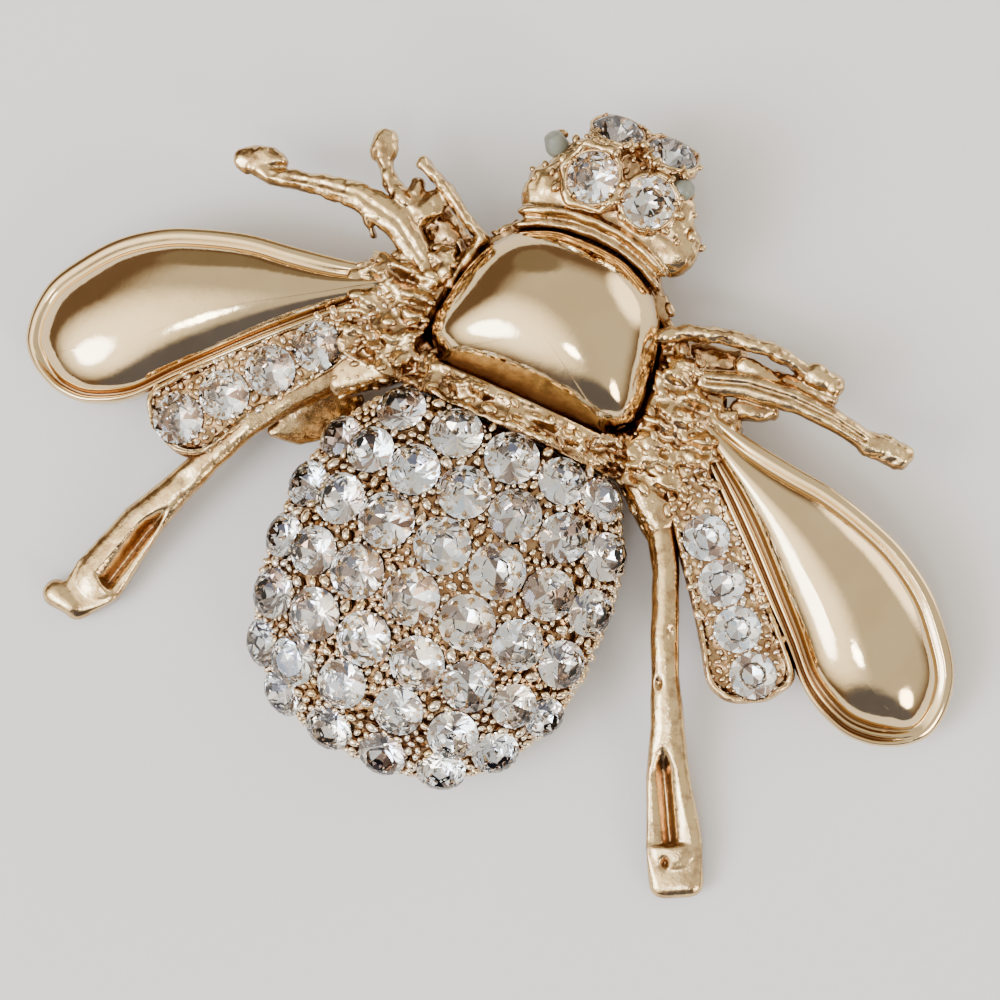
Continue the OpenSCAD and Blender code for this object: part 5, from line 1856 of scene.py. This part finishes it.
class BEE_OT_thorax(bpy.types.Operator):
    """Make the polished thorax dome"""
    bl_idname = "bee.thorax"
    bl_label = "Thorax"

    def execute(self, context):
        build_thorax(Sizes())
        return {"FINISHED"}


class BEE_OT_abdomen(bpy.types.Operator):
    """Make the metal of the abdomen"""
    bl_idname = "bee.abdomen"
    bl_label = "Abdomen metal"

    def execute(self, context):
        build_abdomen(Sizes())
        return {"FINISHED"}


class BEE_OT_abdomen_stones(bpy.types.Operator):
    """Set the stones of the abdomen"""
    bl_idname = "bee.abdomen_stones"
    bl_label = "Abdomen stones"

    def execute(self, context):
        build_abdomen_stones(Sizes())
        return {"FINISHED"}


class BEE_OT_head(bpy.types.Operator):
    """Make the head with its bands and prongs"""
    bl_idname = "bee.head"
    bl_label = "Head"

    def execute(self, context):
        build_head(Sizes())
        return {"FINISHED"}


class BEE_OT_head_stones(bpy.types.Operator):
    """Set the stones of the head"""
    bl_idname = "bee.head_stones"
    bl_label = "Head stones"

    def execute(self, context):
        build_head_stones(Sizes())
        return {"FINISHED"}


class BEE_OT_eyes(bpy.types.Operator):
    """Make the two milky eyes"""
    bl_idname = "bee.eyes"
    bl_label = "Eyes"

    def execute(self, context):
        build_eyes(Sizes())
        return {"FINISHED"}


class BEE_OT_pin(bpy.types.Operator):
    """Paint the pin fitting"""
    bl_idname = "bee.pin"
    bl_label = "Pin fitting"

    def execute(self, context):
        dress_pin()
        return {"FINISHED"}


STEPS = (BEE_OT_stage, BEE_OT_forewings, BEE_OT_hindwings, BEE_OT_wing_stones,
         BEE_OT_hind_legs, BEE_OT_forelegs, BEE_OT_base, BEE_OT_thorax, BEE_OT_abdomen,
         BEE_OT_abdomen_stones, BEE_OT_head, BEE_OT_head_stones, BEE_OT_eyes, BEE_OT_pin)


class BEE_PT_panel(bpy.types.Panel):
    """Sizes, finishes and steps of the bee brooch"""
    bl_idname = "BEE_PT_panel"
    bl_label = "Bee brooch"
    bl_space_type = "VIEW_3D"
    bl_region_type = "UI"
    bl_category = "Bee brooch"

    def draw(self, context):
        layout = self.layout
        for step in STEPS:
            layout.operator(step.bl_idname)
        for title, group in (("Sizes", context.scene.bee_sizes),
                             ("Finishes", context.scene.bee_finishes),
                             ("Stage", context.scene.bee_stage)):
            box = layout.box()
            box.label(text=title)
            for key in type(group).__annotations__:
                box.prop(group, key)


CLASSES = (BeeSizes, BeeFinishes, BeeStage, *STEPS, BEE_PT_panel)


def register():
    """Add the properties, the steps and the panel."""
    for cls in CLASSES:
        bpy.utils.register_class(cls)
    bpy.types.Scene.bee_sizes = PointerProperty(type=BeeSizes)
    bpy.types.Scene.bee_finishes = PointerProperty(type=BeeFinishes)
    bpy.types.Scene.bee_stage = PointerProperty(type=BeeStage)


def unregister():
    """Take the properties, the steps and the panel away."""
    del bpy.types.Scene.bee_stage
    del bpy.types.Scene.bee_finishes
    del bpy.types.Scene.bee_sizes
    for cls in reversed(CLASSES):
        bpy.utils.unregister_class(cls)


def main():
    """Build every piece in order."""
    register()
    for step in STEPS:
        name = step.bl_idname.split(".")[1]
        getattr(bpy.ops.bee, name)()
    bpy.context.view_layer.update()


if __name__ == "__main__":
    main()
